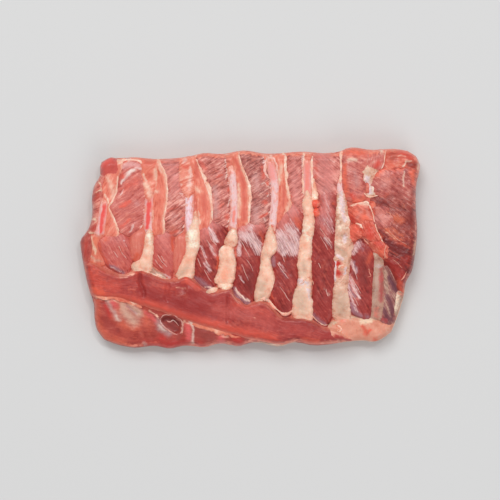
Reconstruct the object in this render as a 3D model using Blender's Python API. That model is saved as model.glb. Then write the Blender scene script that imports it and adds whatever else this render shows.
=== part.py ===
"""A raw rack of pork ribs, lying flat with its bone side up.

The meat is one solid slab: intercostal hollows, fat strips over the lower ribs, a flap of
skirt muscle across the lower edge and a thick muscle at the right end are relief in it.
Each rib bone is its own solid, let into a channel that opens at the upper cut edge and
along the stretch where the bone lies bare. Units are metres, +Z is up.
"""

import math

import bmesh
import bpy
import numpy as np
from mathutils import Vector

# Driving dimensions
SLAB_THICKNESS = 0.0215      # meat between the ribs, upper half
LOWER_HALF_SINK = 0.0022     # the meat between the fat strips lies this much lower
FLAP_HOLLOW = 0.0018         # and lower again along the flap's free edge
LEFT_LUMP_RISE = 0.0030
RIM_ROUND = 0.0060           # rounding of the slab's upper edge
WAIST_HEIGHT = 0.0115        # height at which the slab is widest
UNEVEN_RISE = 0.0006         # slow swells of the upper face
UNEVEN_WAVE = 95             # radians a metre
BONE_HALF_WIDTH = 0.0054
BONE_HALF_DEPTH = 0.0040
BONE_CENTRE_HEIGHT = 0.0195
BONE_DIP_AT_SAWN_END = 0.0035
BONE_DIP_AT_LOWER_END = 0.0010
BONE_GAP = 0.0003            # clearance round a bone, so that two solids never touch
BONE_SAWN_INSET = 0.0002     # the sawn ends lie just inside the widest outline
BONE_SIDES = 10
BONE_STEPS = 10
ROWS = 42                    # facets from the belly edge to the upper cut edge

# Outline at the waist, one smooth curve for each side, from corner to corner
UPPER_EDGE = [(-0.1220, 0.0705), (-0.1150, 0.0742), (-0.1070, 0.0730), (-0.0980, 0.0744),
              (-0.0790, 0.0730), (-0.0500, 0.0752), (-0.0370, 0.0780), (-0.0250, 0.0770),
              (-0.0040, 0.0800), (0.0100, 0.0777), (0.0450, 0.0790), (0.0640, 0.0778),
              (0.0740, 0.0792), (0.0800, 0.0820), (0.0870, 0.0824), (0.0960, 0.0808),
              (0.1210, 0.0810), (0.1300, 0.0792), (0.1362, 0.0752)]
RIGHT_EDGE = [(-0.0690, 0.1160), (-0.0590, 0.1200), (-0.0470, 0.1240), (-0.0380, 0.1265),
              (-0.0280, 0.1280), (-0.0200, 0.1325), (-0.0080, 0.1350), (0.0100, 0.1370),
              (0.0380, 0.1360), (0.0550, 0.1370), (0.0620, 0.1388), (0.0690, 0.1392),
              (0.0752, 0.1362)]
LOWER_EDGE = [(-0.1200, -0.0755), (-0.1110, -0.0790), (-0.0970, -0.0820), (-0.0770, -0.0808),
              (-0.0670, -0.0828), (-0.0550, -0.0806), (-0.0340, -0.0810), (-0.0280, -0.0790),
              (-0.0190, -0.0790), (-0.0100, -0.0810), (0.0000, -0.0780), (0.0080, -0.0780),
              (0.0240, -0.0810), (0.0370, -0.0776), (0.0500, -0.0800), (0.0820, -0.0770),
              (0.0940, -0.0762), (0.1010, -0.0773), (0.1100, -0.0738), (0.1160, -0.0690)]
LEFT_EDGE = [(-0.0755, -0.1200), (-0.0680, -0.1256), (-0.0580, -0.1280), (-0.0460, -0.1286),
             (-0.0360, -0.1320), (-0.0140, -0.1370), (-0.0020, -0.1390), (0.0070, -0.1392),
             (0.0130, -0.1345), (0.0300, -0.1297), (0.0400, -0.1302), (0.0510, -0.1282),
             (0.0600, -0.1232), (0.0660, -0.1236), (0.0705, -0.1220)]

# Ribs, numbered from the left: where each one's middle line crosses seven levels of y
RIB_LEVELS = (-0.0820, -0.0450, -0.0200, 0.0050, 0.0250, 0.0500, 0.0800)
RIB_LINES = {
    1: (-0.1110, -0.1180, -0.1270, -0.1270, -0.1215, -0.1175, -0.1120),
    2: (-0.0860, -0.0880, -0.0895, -0.0825, -0.0835, -0.0815, -0.0850),
    3: (-0.0560, -0.0560, -0.0535, -0.0475, -0.0500, -0.0500, -0.0520),
    4: (-0.0280, -0.0230, -0.0195, -0.0150, -0.0130, -0.0135, -0.0170),
    5: (0.0040, 0.0080, 0.0125, 0.0160, 0.0180, 0.0195, 0.0140),
    6: (0.0400, 0.0430, 0.0440, 0.0460, 0.0475, 0.0470, 0.0470),
    7: (0.0740, 0.0745, 0.0760, 0.0765, 0.0755, 0.0740, 0.0750),
    8: (0.0990, 0.1040, 0.1050, 0.1045, 0.1050, 0.1060, 0.1060),
}
BONE_LOWER_END = {1: 0.0020, 2: -0.0080, 3: -0.0140, 4: -0.0220, 5: -0.0320, 6: -0.0420,
                  7: -0.0440, 8: -0.0440}
# The stretch, from and to, where each bone lies bare; meat or fat covers the rest of it
BONE_BARE = {1: (0.0110, 0.0380), 2: (0.0130, 0.0460), 3: (0.0130, 0.0670),
             4: (0.0170, 0.0690), 5: (0.0180, 0.0690), 6: (0.0430, 0.0690),
             7: (0.0300, 0.0550)}
BONE_SKIN = 0.0014           # least meat over a covered bone
BARE_SINK = 0.0040           # how far the cover drops where a bone lies bare
RIM_RISE = 0.0020            # the cut edge stands a little proud of the bare stretch
RIM_RISE_FROM = 0.0640

# Fat strips over the lower ribs: level of y, then half the strip's width there
FAT_STRIPS = {
    1: [(-0.012, 0.002), (-0.004, 0.0040), (0.008, 0.0035), (0.014, 0.0)],
    2: [(-0.026, 0.010), (-0.015, 0.0080), (-0.005, 0.0045), (0.010, 0.0040), (0.016, 0.0)],
    3: [(-0.032, 0.009), (-0.020, 0.0075), (0.000, 0.0062), (0.012, 0.0055), (0.022, 0.0)],
    4: [(-0.044, 0.008), (-0.025, 0.0072), (-0.005, 0.0068), (0.010, 0.0058), (0.018, 0.0)],
    5: [(-0.054, 0.008), (-0.030, 0.0080), (-0.012, 0.0052), (0.005, 0.0062), (0.020, 0.0)],
    6: [(-0.066, 0.009), (-0.035, 0.0082), (-0.015, 0.0062), (0.020, 0.0048), (0.046, 0.0)],
    7: [(-0.074, 0.010), (-0.045, 0.0090), (-0.020, 0.0068), (0.010, 0.0078), (0.034, 0.0060),
        (0.052, 0.0)],
    8: [(-0.070, 0.008), (-0.040, 0.0055), (-0.012, 0.0058), (0.020, 0.0050), (0.040, 0.0)],
}
FAT_THICKNESS = 0.0050
FAT_LUMP_SHARE = 0.13        # how far the lumps along a strip swell it
FAT_LUMP_WAVE = 420          # radians a metre
# Muscle strip along the right of a bare bone, edged by a line of fat: level, then its width
SIDE_STRIPS = {
    1: [(0.012, 0.013), (0.040, 0.008), (0.070, 0.010)],
    2: [(0.012, 0.013), (0.045, 0.014), (0.070, 0.012)],
    3: [(0.020, 0.018), (0.045, 0.016), (0.074, 0.008)],
    4: [(0.020, 0.012), (0.045, 0.013), (0.076, 0.006)],
    5: [(0.036, 0.013), (0.055, 0.010), (0.076, 0.013)],
    6: [(0.034, 0.009), (0.055, 0.008), (0.074, 0.008)],
}
SIDE_STRIP_RISE = 0.0012

# Skirt muscle: a flap whose free upper edge is scalloped between the ribs
FLAP_UPPER = [(-0.139, -0.0080), (-0.128, -0.0115), (-0.116, -0.0180), (-0.103, -0.0225),
              (-0.090, -0.0175), (-0.075, -0.0240), (-0.062, -0.0255), (-0.050, -0.0235),
              (-0.038, -0.0335), (-0.028, -0.0370), (-0.016, -0.0345), (-0.009, -0.0440),
              (-0.003, -0.0470), (0.008, -0.0440), (0.018, -0.0480), (0.027, -0.0560),
              (0.040, -0.0575), (0.054, -0.0610), (0.068, -0.0665), (0.088, -0.0780)]
FLAP_LOWER = [(-0.139, -0.0400), (-0.108, -0.0400), (-0.080, -0.0500), (-0.050, -0.0600),
              (-0.010, -0.0710), (0.030, -0.0775), (0.088, -0.0850)]
FLAP_TOP_HEIGHT = 0.0250
FLAP_ROLL_RISE = 0.0012      # the flap lies in lengthwise rolls
FLAP_ROLL_WAVE = 190         # radians a metre
BELLY_HEIGHT = 0.0215        # where the flap meets the belly corner
BELLY_EDGE_HEIGHT = 0.0165

# Thick muscle over the right end: left border as (y, x)
END_MUSCLE_EDGE = [(-0.040, 0.1300), (-0.020, 0.1170), (-0.004, 0.1060), (0.003, 0.0960),
                   (0.010, 0.0840), (0.025, 0.0810), (0.040, 0.0790), (0.052, 0.0755),
                   (0.083, 0.0765)]
END_MUSCLE_HEIGHT = 0.0262
END_PAD_EDGE_Y = -0.0590     # pad of fat that closes the lower right corner
END_PAD_LEFT_X = 0.0690
END_PAD_HEIGHT = 0.0232


def line_through(points):
    """A function through (at, value) points that is smooth between them and level past its ends."""
    at, value = np.array(points, float).T
    slope = np.gradient(value, at)

    def read(x):
        x = np.clip(x, at[0], at[-1])
        i = np.clip(np.searchsorted(at, x) - 1, 0, len(at) - 2)
        span = at[i + 1] - at[i]
        t = (x - at[i]) / span
        return (
            value[i] * (1 + 2 * t) * (1 - t) ** 2
            + value[i + 1] * (3 - 2 * t) * t**2
            + span * t * (1 - t) * (slope[i] * (1 - t) - slope[i + 1] * t)
        )

    return read


def step(low, high, x):
    """0 below low, 1 above high, smooth between."""
    t = np.clip((x - low) / (high - low), 0, 1)
    return t * t * (3 - 2 * t)


upper_edge, lower_edge = line_through(UPPER_EDGE), line_through(LOWER_EDGE)
left_edge, right_edge = line_through(LEFT_EDGE), line_through(RIGHT_EDGE)
rib_line = {k: line_through(list(zip(RIB_LEVELS, xs))) for k, xs in RIB_LINES.items()}
fat_width = {k: line_through(rows) for k, rows in FAT_STRIPS.items()}
side_width = {k: line_through(rows) for k, rows in SIDE_STRIPS.items()}
flap_upper, flap_lower = line_through(FLAP_UPPER), line_through(FLAP_LOWER)
end_muscle_edge = line_through(END_MUSCLE_EDGE)


def fat_rise(x, y):
    """Height of the fat strips over the meat: a rounded ridge on each rib, lumpy along it."""
    rise = np.zeros_like(x)
    for k, width in fat_width.items():
        low, high = FAT_STRIPS[k][0][0], FAT_STRIPS[k][-1][0]
        half = np.maximum(width(y), 1e-6)
        across = np.clip(1 - ((x - rib_line[k](y)) / half) ** 2, 0, 1) ** 0.5
        lumps = 1 + FAT_LUMP_SHARE * np.sin(y * FAT_LUMP_WAVE + 2.1 * k)
        along = step(high, high - 0.012, y) * (y > low - 0.020)
        rise = np.maximum(rise, FAT_THICKNESS * across * lumps * along)
    return rise


def bone_centre_height(y):
    """Height of a bone's middle line: level where it lies bare, lower towards its two ends."""
    sawn_end = step(0.055, 0.078, y)
    lower_end = step(0.010, -0.040, y)
    return BONE_CENTRE_HEIGHT - BONE_DIP_AT_SAWN_END * sawn_end - BONE_DIP_AT_LOWER_END * lower_end


def bone_cover_height(x, y):
    """Height of the thin meat over the covered stretches of the bones, 0 where there is none."""
    cover = np.zeros_like(x)
    for k in rib_line:
        low, high = BONE_BARE.get(k, (1, 1))
        off = (x - rib_line[k](y)) / (BONE_HALF_WIDTH + BONE_SKIN)
        arch = (BONE_HALF_DEPTH + BONE_SKIN) * np.sqrt(np.clip(1 - off**2, 0, 1))
        bare = step(low - 0.004, low, y) * step(high + 0.006, high, y)
        over = np.abs(off) < 1
        cover = np.maximum(cover, (bone_centre_height(y) + arch - BARE_SINK * bare) * over)
    return cover


def unevenness(x, y):
    """Slow rise and fall of the whole upper face."""
    return UNEVEN_RISE * np.sin(x * UNEVEN_WAVE + 1.0) * np.cos(y * 0.75 * UNEVEN_WAVE)


def side_strip_rise(x, y):
    """Low swelling of the muscle strip beside each bare bone, highest at its fat edge."""
    rise = np.zeros_like(x)
    for k, width in side_width.items():
        off = (x - rib_line[k](y)) / width(y)
        along = step(SIDE_STRIPS[k][0][0] - 0.006, SIDE_STRIPS[k][0][0] + 0.004, y)
        rise = np.maximum(rise, SIDE_STRIP_RISE * along * step(0.2, 0.85, off) * step(1.25, 1.0, off))
    return rise


def meat_height(x, y):
    """Height of the slab's upper face over the flat base."""
    height = SLAB_THICKNESS - LOWER_HALF_SINK * step(0.022, -0.006, y)
    height = height + RIM_RISE * step(RIM_RISE_FROM, RIM_RISE_FROM + 0.008, y)
    height = height + unevenness(x, y)
    height = height + side_strip_rise(x, y)
    # The hollows between the fat strips deepen towards the flap's free edge
    to_flap = y - flap_upper(x)
    height = height - FLAP_HOLLOW * step(0.022, 0.004, to_flap) * (to_flap > 0)
    height = np.maximum(height + fat_rise(x, y), bone_cover_height(x, y))
    # Left margin: a lump of muscle beside the first rib
    left = step(-0.1265, -0.1310, x) * step(-0.016, -0.008, y) * step(0.014, 0.008, y)
    height = height + LEFT_LUMP_RISE * left
    # Thick end muscle, and the fat pad below it
    muscle = step(-0.004, 0.008, x - end_muscle_edge(y)) * step(-0.046, -0.024, y)
    height = height * (1 - muscle) + (END_MUSCLE_HEIGHT + unevenness(x, y)) * muscle
    pad = step(END_PAD_EDGE_Y + 0.004, END_PAD_EDGE_Y - 0.004, y)
    pad = pad * step(END_PAD_LEFT_X - 0.002, END_PAD_LEFT_X + 0.008, x)
    height = height * (1 - pad) + END_PAD_HEIGHT * pad
    # Skirt flap and, below it, the belly corner that thins towards the lower edge
    flap_roll = FLAP_ROLL_RISE * np.sin((y - flap_lower(x)) * FLAP_ROLL_WAVE)
    flap = step(0.0022, -0.0045, to_flap) * step(0.095, 0.078, x)
    height = height * (1 - flap) + (FLAP_TOP_HEIGHT + flap_roll) * flap
    below = flap_lower(x) - y
    thin = BELLY_EDGE_HEIGHT + (BELLY_HEIGHT - BELLY_EDGE_HEIGHT) * step(0.036, 0.0, below)
    belly = step(-0.002, 0.004, below)
    return height * (1 - belly) + thin * belly


def plan_point(u, v, inset):
    """Plan position for u from 0 (left) to 1 (right) and v from 0 (belly) to 1 (upper edge).

    Lines of constant u follow the ribs. u counts bays: one left of rib 1, one between each
    two ribs and one right of the last.
    """
    x = u * 0.0
    y = (v - 0.5) * 0.16
    bay_ends = len(RIB_LINES) + 1
    for _ in range(12):
        lines = [left_edge(y) + inset]
        lines += [rib_line[k](y) for k in sorted(rib_line)]
        lines += [right_edge(y) - inset]
        place = u * bay_ends
        i = np.clip(place.astype(int), 0, bay_ends - 1)
        stack = np.array(lines)
        here = np.arange(len(u))
        x = stack[i, here] + (stack[i + 1, here] - stack[i, here]) * (place - i)
        low, high = lower_edge(x) + inset, upper_edge(x) - inset
        y = low + (high - low) * v
    return x, y


def column_places():
    """u of each column: closest together over the ribs, where the relief is steepest."""
    first_bay = [0, 0.30, 0.58, 0.82]
    middle_bay = [0, 0.12, 0.24, 0.37, 0.50, 0.63, 0.76, 0.88]
    bays = len(RIB_LINES) + 1
    places = [share / bays for share in first_bay]
    for bay in range(1, bays):
        places += [(bay + share) / bays for share in middle_bay]
    return np.array(places + [1.0])


def new_object(name, mesh_builder, material):
    """Puts a bmesh in the scene as a named object."""
    mesh = bpy.data.meshes.new(name)
    mesh_builder.to_mesh(mesh)
    mesh_builder.free()
    made = bpy.data.objects.new(name, mesh)
    bpy.context.scene.collection.objects.link(made)
    mesh.materials.append(material)
    mesh.shade_smooth()
    mesh.set_sharp_from_angle(angle=math.radians(50))
    return made


def flesh_material(name, colour, roughness):
    """A Principled BSDF of one colour, not metallic."""
    made = bpy.data.materials.new(name)
    made.use_nodes = True
    shader = made.node_tree.nodes["Principled BSDF"]
    shader.inputs["Base Color"].default_value = (*colour, 1)
    shader.inputs["Roughness"].default_value = roughness
    shader.inputs["Metallic"].default_value = 0
    return made


def make_meat():
    """The slab: a grid for the upper face, rings round its rim, and a flat base."""
    columns = column_places()
    grid_u, grid_v = np.meshgrid(columns, np.linspace(0, 1, ROWS + 1))
    grid_u, grid_v = grid_u.ravel(), grid_v.ravel()
    x, y = plan_point(grid_u, grid_v, RIM_ROUND)
    z = meat_height(x, y)
    shape = bmesh.new()
    bmesh.ops.create_grid(shape, x_segments=len(columns) - 1, y_segments=ROWS, size=0.5)
    shape.verts.ensure_lookup_table()
    for i, vert in enumerate(shape.verts):
        vert.co = (x[i], y[i], z[i])
    # (inset from the outline, share of the way down from the upper face to the waist)
    quarter = 1 - math.sqrt(0.5)
    rings = [(RIM_ROUND * quarter, "shoulder"), (0.0, "waist"), (0.0014, "skirt"), (0.0042, "foot")]
    height_of = {"waist": WAIST_HEIGHT, "skirt": 0.0030, "foot": 0.0}
    edges = [e for e in shape.edges if e.is_boundary]
    place = {v: (grid_u[v.index], grid_v[v.index], z[v.index]) for v in shape.verts}
    for inset, ring in rings:
        grown = bmesh.ops.extrude_edge_only(shape, edges=edges)["geom"]
        new_verts = [g for g in grown if isinstance(g, bmesh.types.BMVert)]
        edges = [g for g in grown if isinstance(g, bmesh.types.BMEdge) and g.is_boundary]
        old = {tuple(v.co): place[v] for v in list(place)}
        found = [old[tuple(v.co)] for v in new_verts]
        u, v, top = (np.array(column) for column in zip(*found))
        ring_x, ring_y = plan_point(u, v, inset)
        place = {}
        for i, vert in enumerate(new_verts):
            drop = top[i] - RIM_ROUND * quarter
            vert.co = (ring_x[i], ring_y[i], height_of.get(ring, drop))
            place[vert] = (u[i], v[i], top[i])
    bmesh.ops.edgeloop_fill(shape, edges=edges)
    bmesh.ops.recalc_face_normals(shape, faces=shape.faces)
    return new_object("meat", shape, flesh_material("raw meat", (0.45, 0.09, 0.07), 0.4))


def bone_path(k):
    """Middle line of a rib bone, from its sawn end at the upper edge to its hidden lower end."""
    sawn_end = float(upper_edge(rib_line[k](0.078))) - BONE_SAWN_INSET
    ys = np.linspace(sawn_end, BONE_LOWER_END[k], BONE_STEPS + 1)
    return np.stack([rib_line[k](ys), ys, bone_centre_height(ys)], axis=1)


def bone_shape(k, grow, past_end):
    """A closed tube of oval section along the rib; its lower end narrows to a blunt tip."""
    path = bone_path(k)
    outward = path[0] - path[1]
    path[0] += outward * past_end / np.linalg.norm(outward)
    path[-1, 1] -= 4 * grow
    shape = bmesh.new()
    last_ring = None
    for i, centre in enumerate(path):
        ahead, behind = path[min(i + 1, BONE_STEPS)], path[max(i - 1, 0)]
        along = Vector(ahead - behind).normalized()
        side = along.cross(Vector((0, 0, 1))).normalized()
        up = side.cross(along)
        taper = 0.62 if i == BONE_STEPS else 1.0
        room = grow * (2 if i == BONE_STEPS else 1)
        half_width = BONE_HALF_WIDTH * taper + room
        half_depth = BONE_HALF_DEPTH * taper + room
        ring = bmesh.ops.create_circle(shape, segments=BONE_SIDES, radius=1, cap_ends=False)["verts"]
        for vert in ring:
            vert.co = Vector(centre) + side * (vert.co.x * half_width) + up * (vert.co.y * half_depth)
        ring_edges = list({e for v in ring for e in v.link_edges})
        if last_ring:
            bmesh.ops.bridge_loops(shape, edges=last_ring + ring_edges)
        last_ring = ring_edges
    bmesh.ops.holes_fill(shape, edges=[e for e in shape.edges if e.is_boundary], sides=BONE_SIDES)
    bmesh.ops.recalc_face_normals(shape, faces=shape.faces)
    return shape


def make_bones(meat):
    """The bones, and the slightly wider cutters that open their channels in the meat."""
    bone = flesh_material("rib bone", (0.80, 0.55, 0.52), 0.35)
    cutters = bpy.data.collections.new("bone channels")
    bpy.context.scene.collection.children.link(cutters)
    made = []
    for k in sorted(RIB_LINES):
        made.append(new_object(f"rib_{k}", bone_shape(k, 0.0, 0.0), bone))
        cutter = new_object(f"channel_{k}", bone_shape(k, BONE_GAP, 0.004), bone)
        bpy.context.scene.collection.objects.unlink(cutter)
        cutters.objects.link(cutter)
        cutter.hide_render = True
        cutter.display_type = "WIRE"
    channels = meat.modifiers.new("bone channels", "BOOLEAN")
    channels.operation = "DIFFERENCE"
    channels.operand_type = "COLLECTION"
    channels.collection = cutters
    channels.solver = "EXACT"
    return made + list(cutters.objects)


def centre_on_base(objects, meat):
    """Shifts everything sideways, so that the origin is under the middle of the rack."""
    corners = np.array([v.co for v in meat.data.vertices])
    middle = (corners.min(axis=0) + corners.max(axis=0)) / 2
    for made in objects:
        made.location = (-middle[0], -middle[1], 0)


for old in list(bpy.data.objects):
    bpy.data.objects.remove(old)
meat = make_meat()
others = make_bones(meat)
centre_on_base([meat, *others], meat)
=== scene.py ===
import math

import bmesh
import bpy
import numpy as np
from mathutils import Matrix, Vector


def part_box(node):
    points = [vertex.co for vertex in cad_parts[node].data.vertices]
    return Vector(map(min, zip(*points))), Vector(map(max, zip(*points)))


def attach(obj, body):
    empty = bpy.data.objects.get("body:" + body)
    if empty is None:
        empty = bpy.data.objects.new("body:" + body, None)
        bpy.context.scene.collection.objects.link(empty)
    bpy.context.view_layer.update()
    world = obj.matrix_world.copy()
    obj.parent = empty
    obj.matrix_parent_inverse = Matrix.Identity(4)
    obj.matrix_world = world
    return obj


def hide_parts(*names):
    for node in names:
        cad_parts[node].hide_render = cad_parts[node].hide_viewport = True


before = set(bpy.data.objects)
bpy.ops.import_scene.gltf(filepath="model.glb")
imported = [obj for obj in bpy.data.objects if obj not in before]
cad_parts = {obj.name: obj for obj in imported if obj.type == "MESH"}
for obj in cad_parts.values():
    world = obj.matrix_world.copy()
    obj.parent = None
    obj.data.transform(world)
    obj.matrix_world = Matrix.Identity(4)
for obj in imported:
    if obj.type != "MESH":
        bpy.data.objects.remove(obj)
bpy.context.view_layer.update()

# Slab
# The rack is one cut slab of meat. This is its body: the rounded cut edges, the side walls with
# their layers of muscle and fat, and the flat underside. Its outline is the frame's own, read at
# the height where the slab is widest, and everything else lies on its upper face.
MM = 0.001
WAIST = 11.5
EDGE_ROUND = 6.5
CORNERS = {"upper left": (-122, 70.5), "upper right": (136.2, 75.2),
           "lower right": (116, -69), "lower left": (-120, -75.5)}
FLAP_EDGE = [(-136, -11), (-128, -12), (-120, -17), (-113, -20), (-105, -21.5), (-97, -19),
             (-90, -17.5), (-83, -20), (-75, -23), (-68, -25), (-60, -25.5), (-52, -22.5),
             (-46, -26), (-40, -31), (-33, -35), (-26, -34.5), (-20, -33), (-15, -33.5),
             (-13, -38), (-8, -42), (-4, -46), (2, -44.5), (10, -43), (16, -47), (20, -51),
             (26, -56), (34, -57), (42, -57), (50, -59), (56, -62), (63, -65), (70, -67),
             (78, -72), (85, -75)]
FLAP_HEM = [(-136, -39), (-128, -40), (-120, -40.5), (-113, -40), (-105, -41), (-97, -44),
            (-90, -46.5), (-83, -48.5), (-75, -51), (-68, -53.5), (-60, -56), (-52, -59),
            (-46, -61), (-40, -63), (-33, -65), (-26, -67), (-20, -69), (-13, -71), (-4, -74),
            (10, -77.5), (85, -79)]


def smooth_line(points):
    """A smooth function through (at, value) points, level past its ends."""
    at, value = np.array(points, float).T
    slope = np.gradient(value, at)

    def read(x):
        x = np.clip(x, at[0], at[-1])
        i = np.clip(np.searchsorted(at, x) - 1, 0, len(at) - 2)
        span = at[i + 1] - at[i]
        t = (x - at[i]) / span
        ends = value[i] * (1 + 2 * t) * (1 - t) ** 2 + value[i + 1] * (3 - 2 * t) * t**2
        return ends + span * t * (1 - t) * (slope[i] * (1 - t) - slope[i + 1] * t)

    return read


def rise(low, high, x):
    """0 below low, 1 above high, smooth between; low may be the larger."""
    t = np.clip((x - low) / (high - low), 0, 1)
    return t * t * (3 - 2 * t)


def crowd(u, share):
    """Moves grid lines between -1 and 1 towards both ends, the more the larger the share."""
    return (1 - share) * u + share * u * (1.5 - 0.5 * u * u)


def lumps(x, y, size, seed=0.0):
    """Smooth uneven swells between -1 and 1, about `size` millimetres wide."""
    total = np.zeros(np.shape(x))
    for octave, share in ((1.0, 0.65), (2.1, 0.35)):
        turn = 0.5 + octave + seed
        u = (x * math.cos(turn) + y * math.sin(turn)) * octave / size + 7.3 * seed + 51.0
        v = (y * math.cos(turn) - x * math.sin(turn)) * octave / size - 3.1 * seed + 23.0
        cu, cv = np.floor(u), np.floor(v)
        fu, fv = u - cu, v - cv
        fu, fv = fu * fu * (3 - 2 * fu), fv * fv * (3 - 2 * fv)
        for du in (0, 1):
            for dv in (0, 1):
                dice = np.sin((cu + du) * 127.1 + (cv + dv) * 311.7 + seed) * 43758.5453
                dice = 2 * (dice - np.floor(dice)) - 1
                total += share * dice * np.abs(1 - du - fu) * np.abs(1 - dv - fv)
    return total


def strokes(x, y, marks, wander=1.0):
    """1 in the middle of each mark, 0.5 at its edge, 0 farther off.

    A mark is a list of (x, y, half width), or a pair of its strength and such a list.
    """
    x = x + wander * (0.9 * lumps(x, y, 5, 3.3) + 0.6 * lumps(x, y, 2, 5.2))
    y = y + wander * (0.9 * lumps(x, y, 5, 8.1) + 0.6 * lumps(x, y, 2, 6.4))
    shown = np.zeros(np.shape(x))
    for mark in marks:
        strength = 1.0
        if isinstance(mark[0], (int, float)):
            strength, mark = mark[0], mark[1]
        for a, b in zip(mark, mark[1:] or mark):
            dx, dy = b[0] - a[0], b[1] - a[1]
            t = np.clip(((x - a[0]) * dx + (y - a[1]) * dy) / (dx * dx + dy * dy + 1e-9), 0, 1)
            gap = np.hypot(x - a[0] - t * dx, y - a[1] - t * dy) / (a[2] + t * (b[2] - a[2]))
            shown = np.maximum(shown, strength * np.clip(1 - gap / 2, 0, 1))
    return shown


waist = np.array([v.co[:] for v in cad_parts["meat"].data.vertices]) / MM
waist = np.unique(np.round(waist[np.abs(waist[:, 2] - WAIST) < 0.1][:, :2], 2), axis=0)
waist = waist[np.argsort(-np.arctan2(waist[:, 1], waist[:, 0]))]
RASTER, HALF_LONG, HALF_WIDE = 1.5, 145, 90
near_edge_x, near_edge_y = np.meshgrid(np.arange(-HALF_LONG, HALF_LONG + 1, RASTER),
                                       np.arange(-HALF_WIDE, HALF_WIDE + 1, RASTER))


def outline_gap(x, y):
    """Distance from (x, y) to the outline in mm, negative outside it."""
    nearest, inside = np.full(np.shape(x), 1e9), np.zeros(np.shape(x), bool)
    for a, b in zip(waist, np.roll(waist, -1, axis=0)):
        way = b - a
        t = np.clip(((x - a[0]) * way[0] + (y - a[1]) * way[1]) / (way @ way), 0, 1)
        nearest = np.minimum(nearest, np.hypot(x - a[0] - t * way[0], y - a[1] - t * way[1]))
        if a[1] != b[1]:
            left_of = x < a[0] + (y - a[1]) * way[0] / way[1]
            inside ^= ((a[1] > y) != (b[1] > y)) & left_of
    return np.where(inside, nearest, -nearest)


near_edge = outline_gap(near_edge_x, near_edge_y)


def edge_gap(x, y):
    """The same distance, read off a raster, which is quick for many points."""
    u = np.clip((x + HALF_LONG) / RASTER, 0, near_edge.shape[1] - 1.001)
    v = np.clip((y + HALF_WIDE) / RASTER, 0, near_edge.shape[0] - 1.001)
    i, j = u.astype(int), v.astype(int)
    u, v = u - i, v - j
    low = near_edge[j, i] * (1 - u) + near_edge[j, i + 1] * u
    high = near_edge[j + 1, i] * (1 - u) + near_edge[j + 1, i + 1] * u
    return low * (1 - v) + high * v


def keep_inside(x, y, margin):
    """Moves points that lie nearer the outline than the margin, or outside it, back inside."""
    for _ in range(2):
        short = np.maximum(margin - edge_gap(x, y), 0)
        x, y = (x + short * (edge_gap(x + 0.7, y) - edge_gap(x - 0.7, y)) / 1.4,
                y + short * (edge_gap(x, y + 0.7) - edge_gap(x, y - 0.7)) / 1.4)
    return x, y


def edge_fall(x, y):
    """0 at the outline, 1 inside it, along the round of the slab's edge."""
    return np.sqrt(1 - (1 - np.clip(edge_gap(x, y) / EDGE_ROUND, 0, 1)) ** 2)


def rim_and_painted_light(x, y):
    """1 on the rim along the upper edge, less along the lower and right ones: the rim's own orange, and
    painted light on the rounded edges.
    """
    near = rise(5.2, 1.8, edge_gap(x, y) + lumps(x, y, 9, 2.2))
    upper_part = rise(58, 64, y) * rise(-112, -105, x)
    right_part = 0.55 * rise(108, 118, x) * rise(6, 12, np.abs(y + 11))
    return near * np.maximum(upper_part, np.maximum(0.75 * rise(-56, -64, y), right_part))


flap_edge, flap_hem = smooth_line(FLAP_EDGE), smooth_line(FLAP_HEM)
end_border = smooth_line([(-45, 130), (-20, 114), (-4, 104), (4, 96), (10, 86), (25, 81),
                          (40, 79), (52, 75.5), (83, 76)])


UPPER_LEVEL, END_LEVEL, FLAP_LEVEL, CORNER_LEVEL = 20.6, 24.2, 22.0, 16.8
PIT_X, PIT_Y, PIT_HALF_LONG, PIT_HALF_WIDE = -64.5, -63, 10.2, 6.2


def bed(x, y):
    """Height of the slab's upper face in mm, on which the muscles, bones and fat lie."""
    level = UPPER_LEVEL - 2.2 * rise(20, -8, y) + 0.5 * lumps(x, y, 30, 1.7)
    level += 0.9 * rise(60, 76, y)
    to_flap = y - flap_edge(x)
    level -= 1.6 * rise(22, 3, to_flap) * (to_flap > -4)
    end = rise(-3, 6, x - end_border(y)) * rise(-46, -28, y)
    level += (END_LEVEL - level) * end
    level += (FLAP_LEVEL - level) * rise(1.0, -2.5, to_flap)
    below = flap_hem(x) - y
    corner_level = CORNER_LEVEL + 3.2 * rise(34, 2, below)
    level += (corner_level - level) * rise(-3, 3, below) * rise(10, -6, x)
    off_x, off_y = x - PIT_X, y - PIT_Y
    pit_along, pit_across = 0.80 * off_x - 0.60 * off_y, 0.60 * off_x + 0.80 * off_y
    level -= 3.2 * rise(1.05, 0.55, np.hypot(pit_along / PIT_HALF_LONG, pit_across / PIT_HALF_WIDE))
    return WAIST + (level - WAIST) * edge_fall(x, y)


def tone(red, green, blue):
    """A colour as seen on screen, 0 to 255, as the shader wants it."""
    return (*((c / 255 / 12.92) if c < 10 else ((c / 255 + 0.055) / 1.055) ** 2.4
              for c in (red, green, blue)), 1.0)


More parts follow.
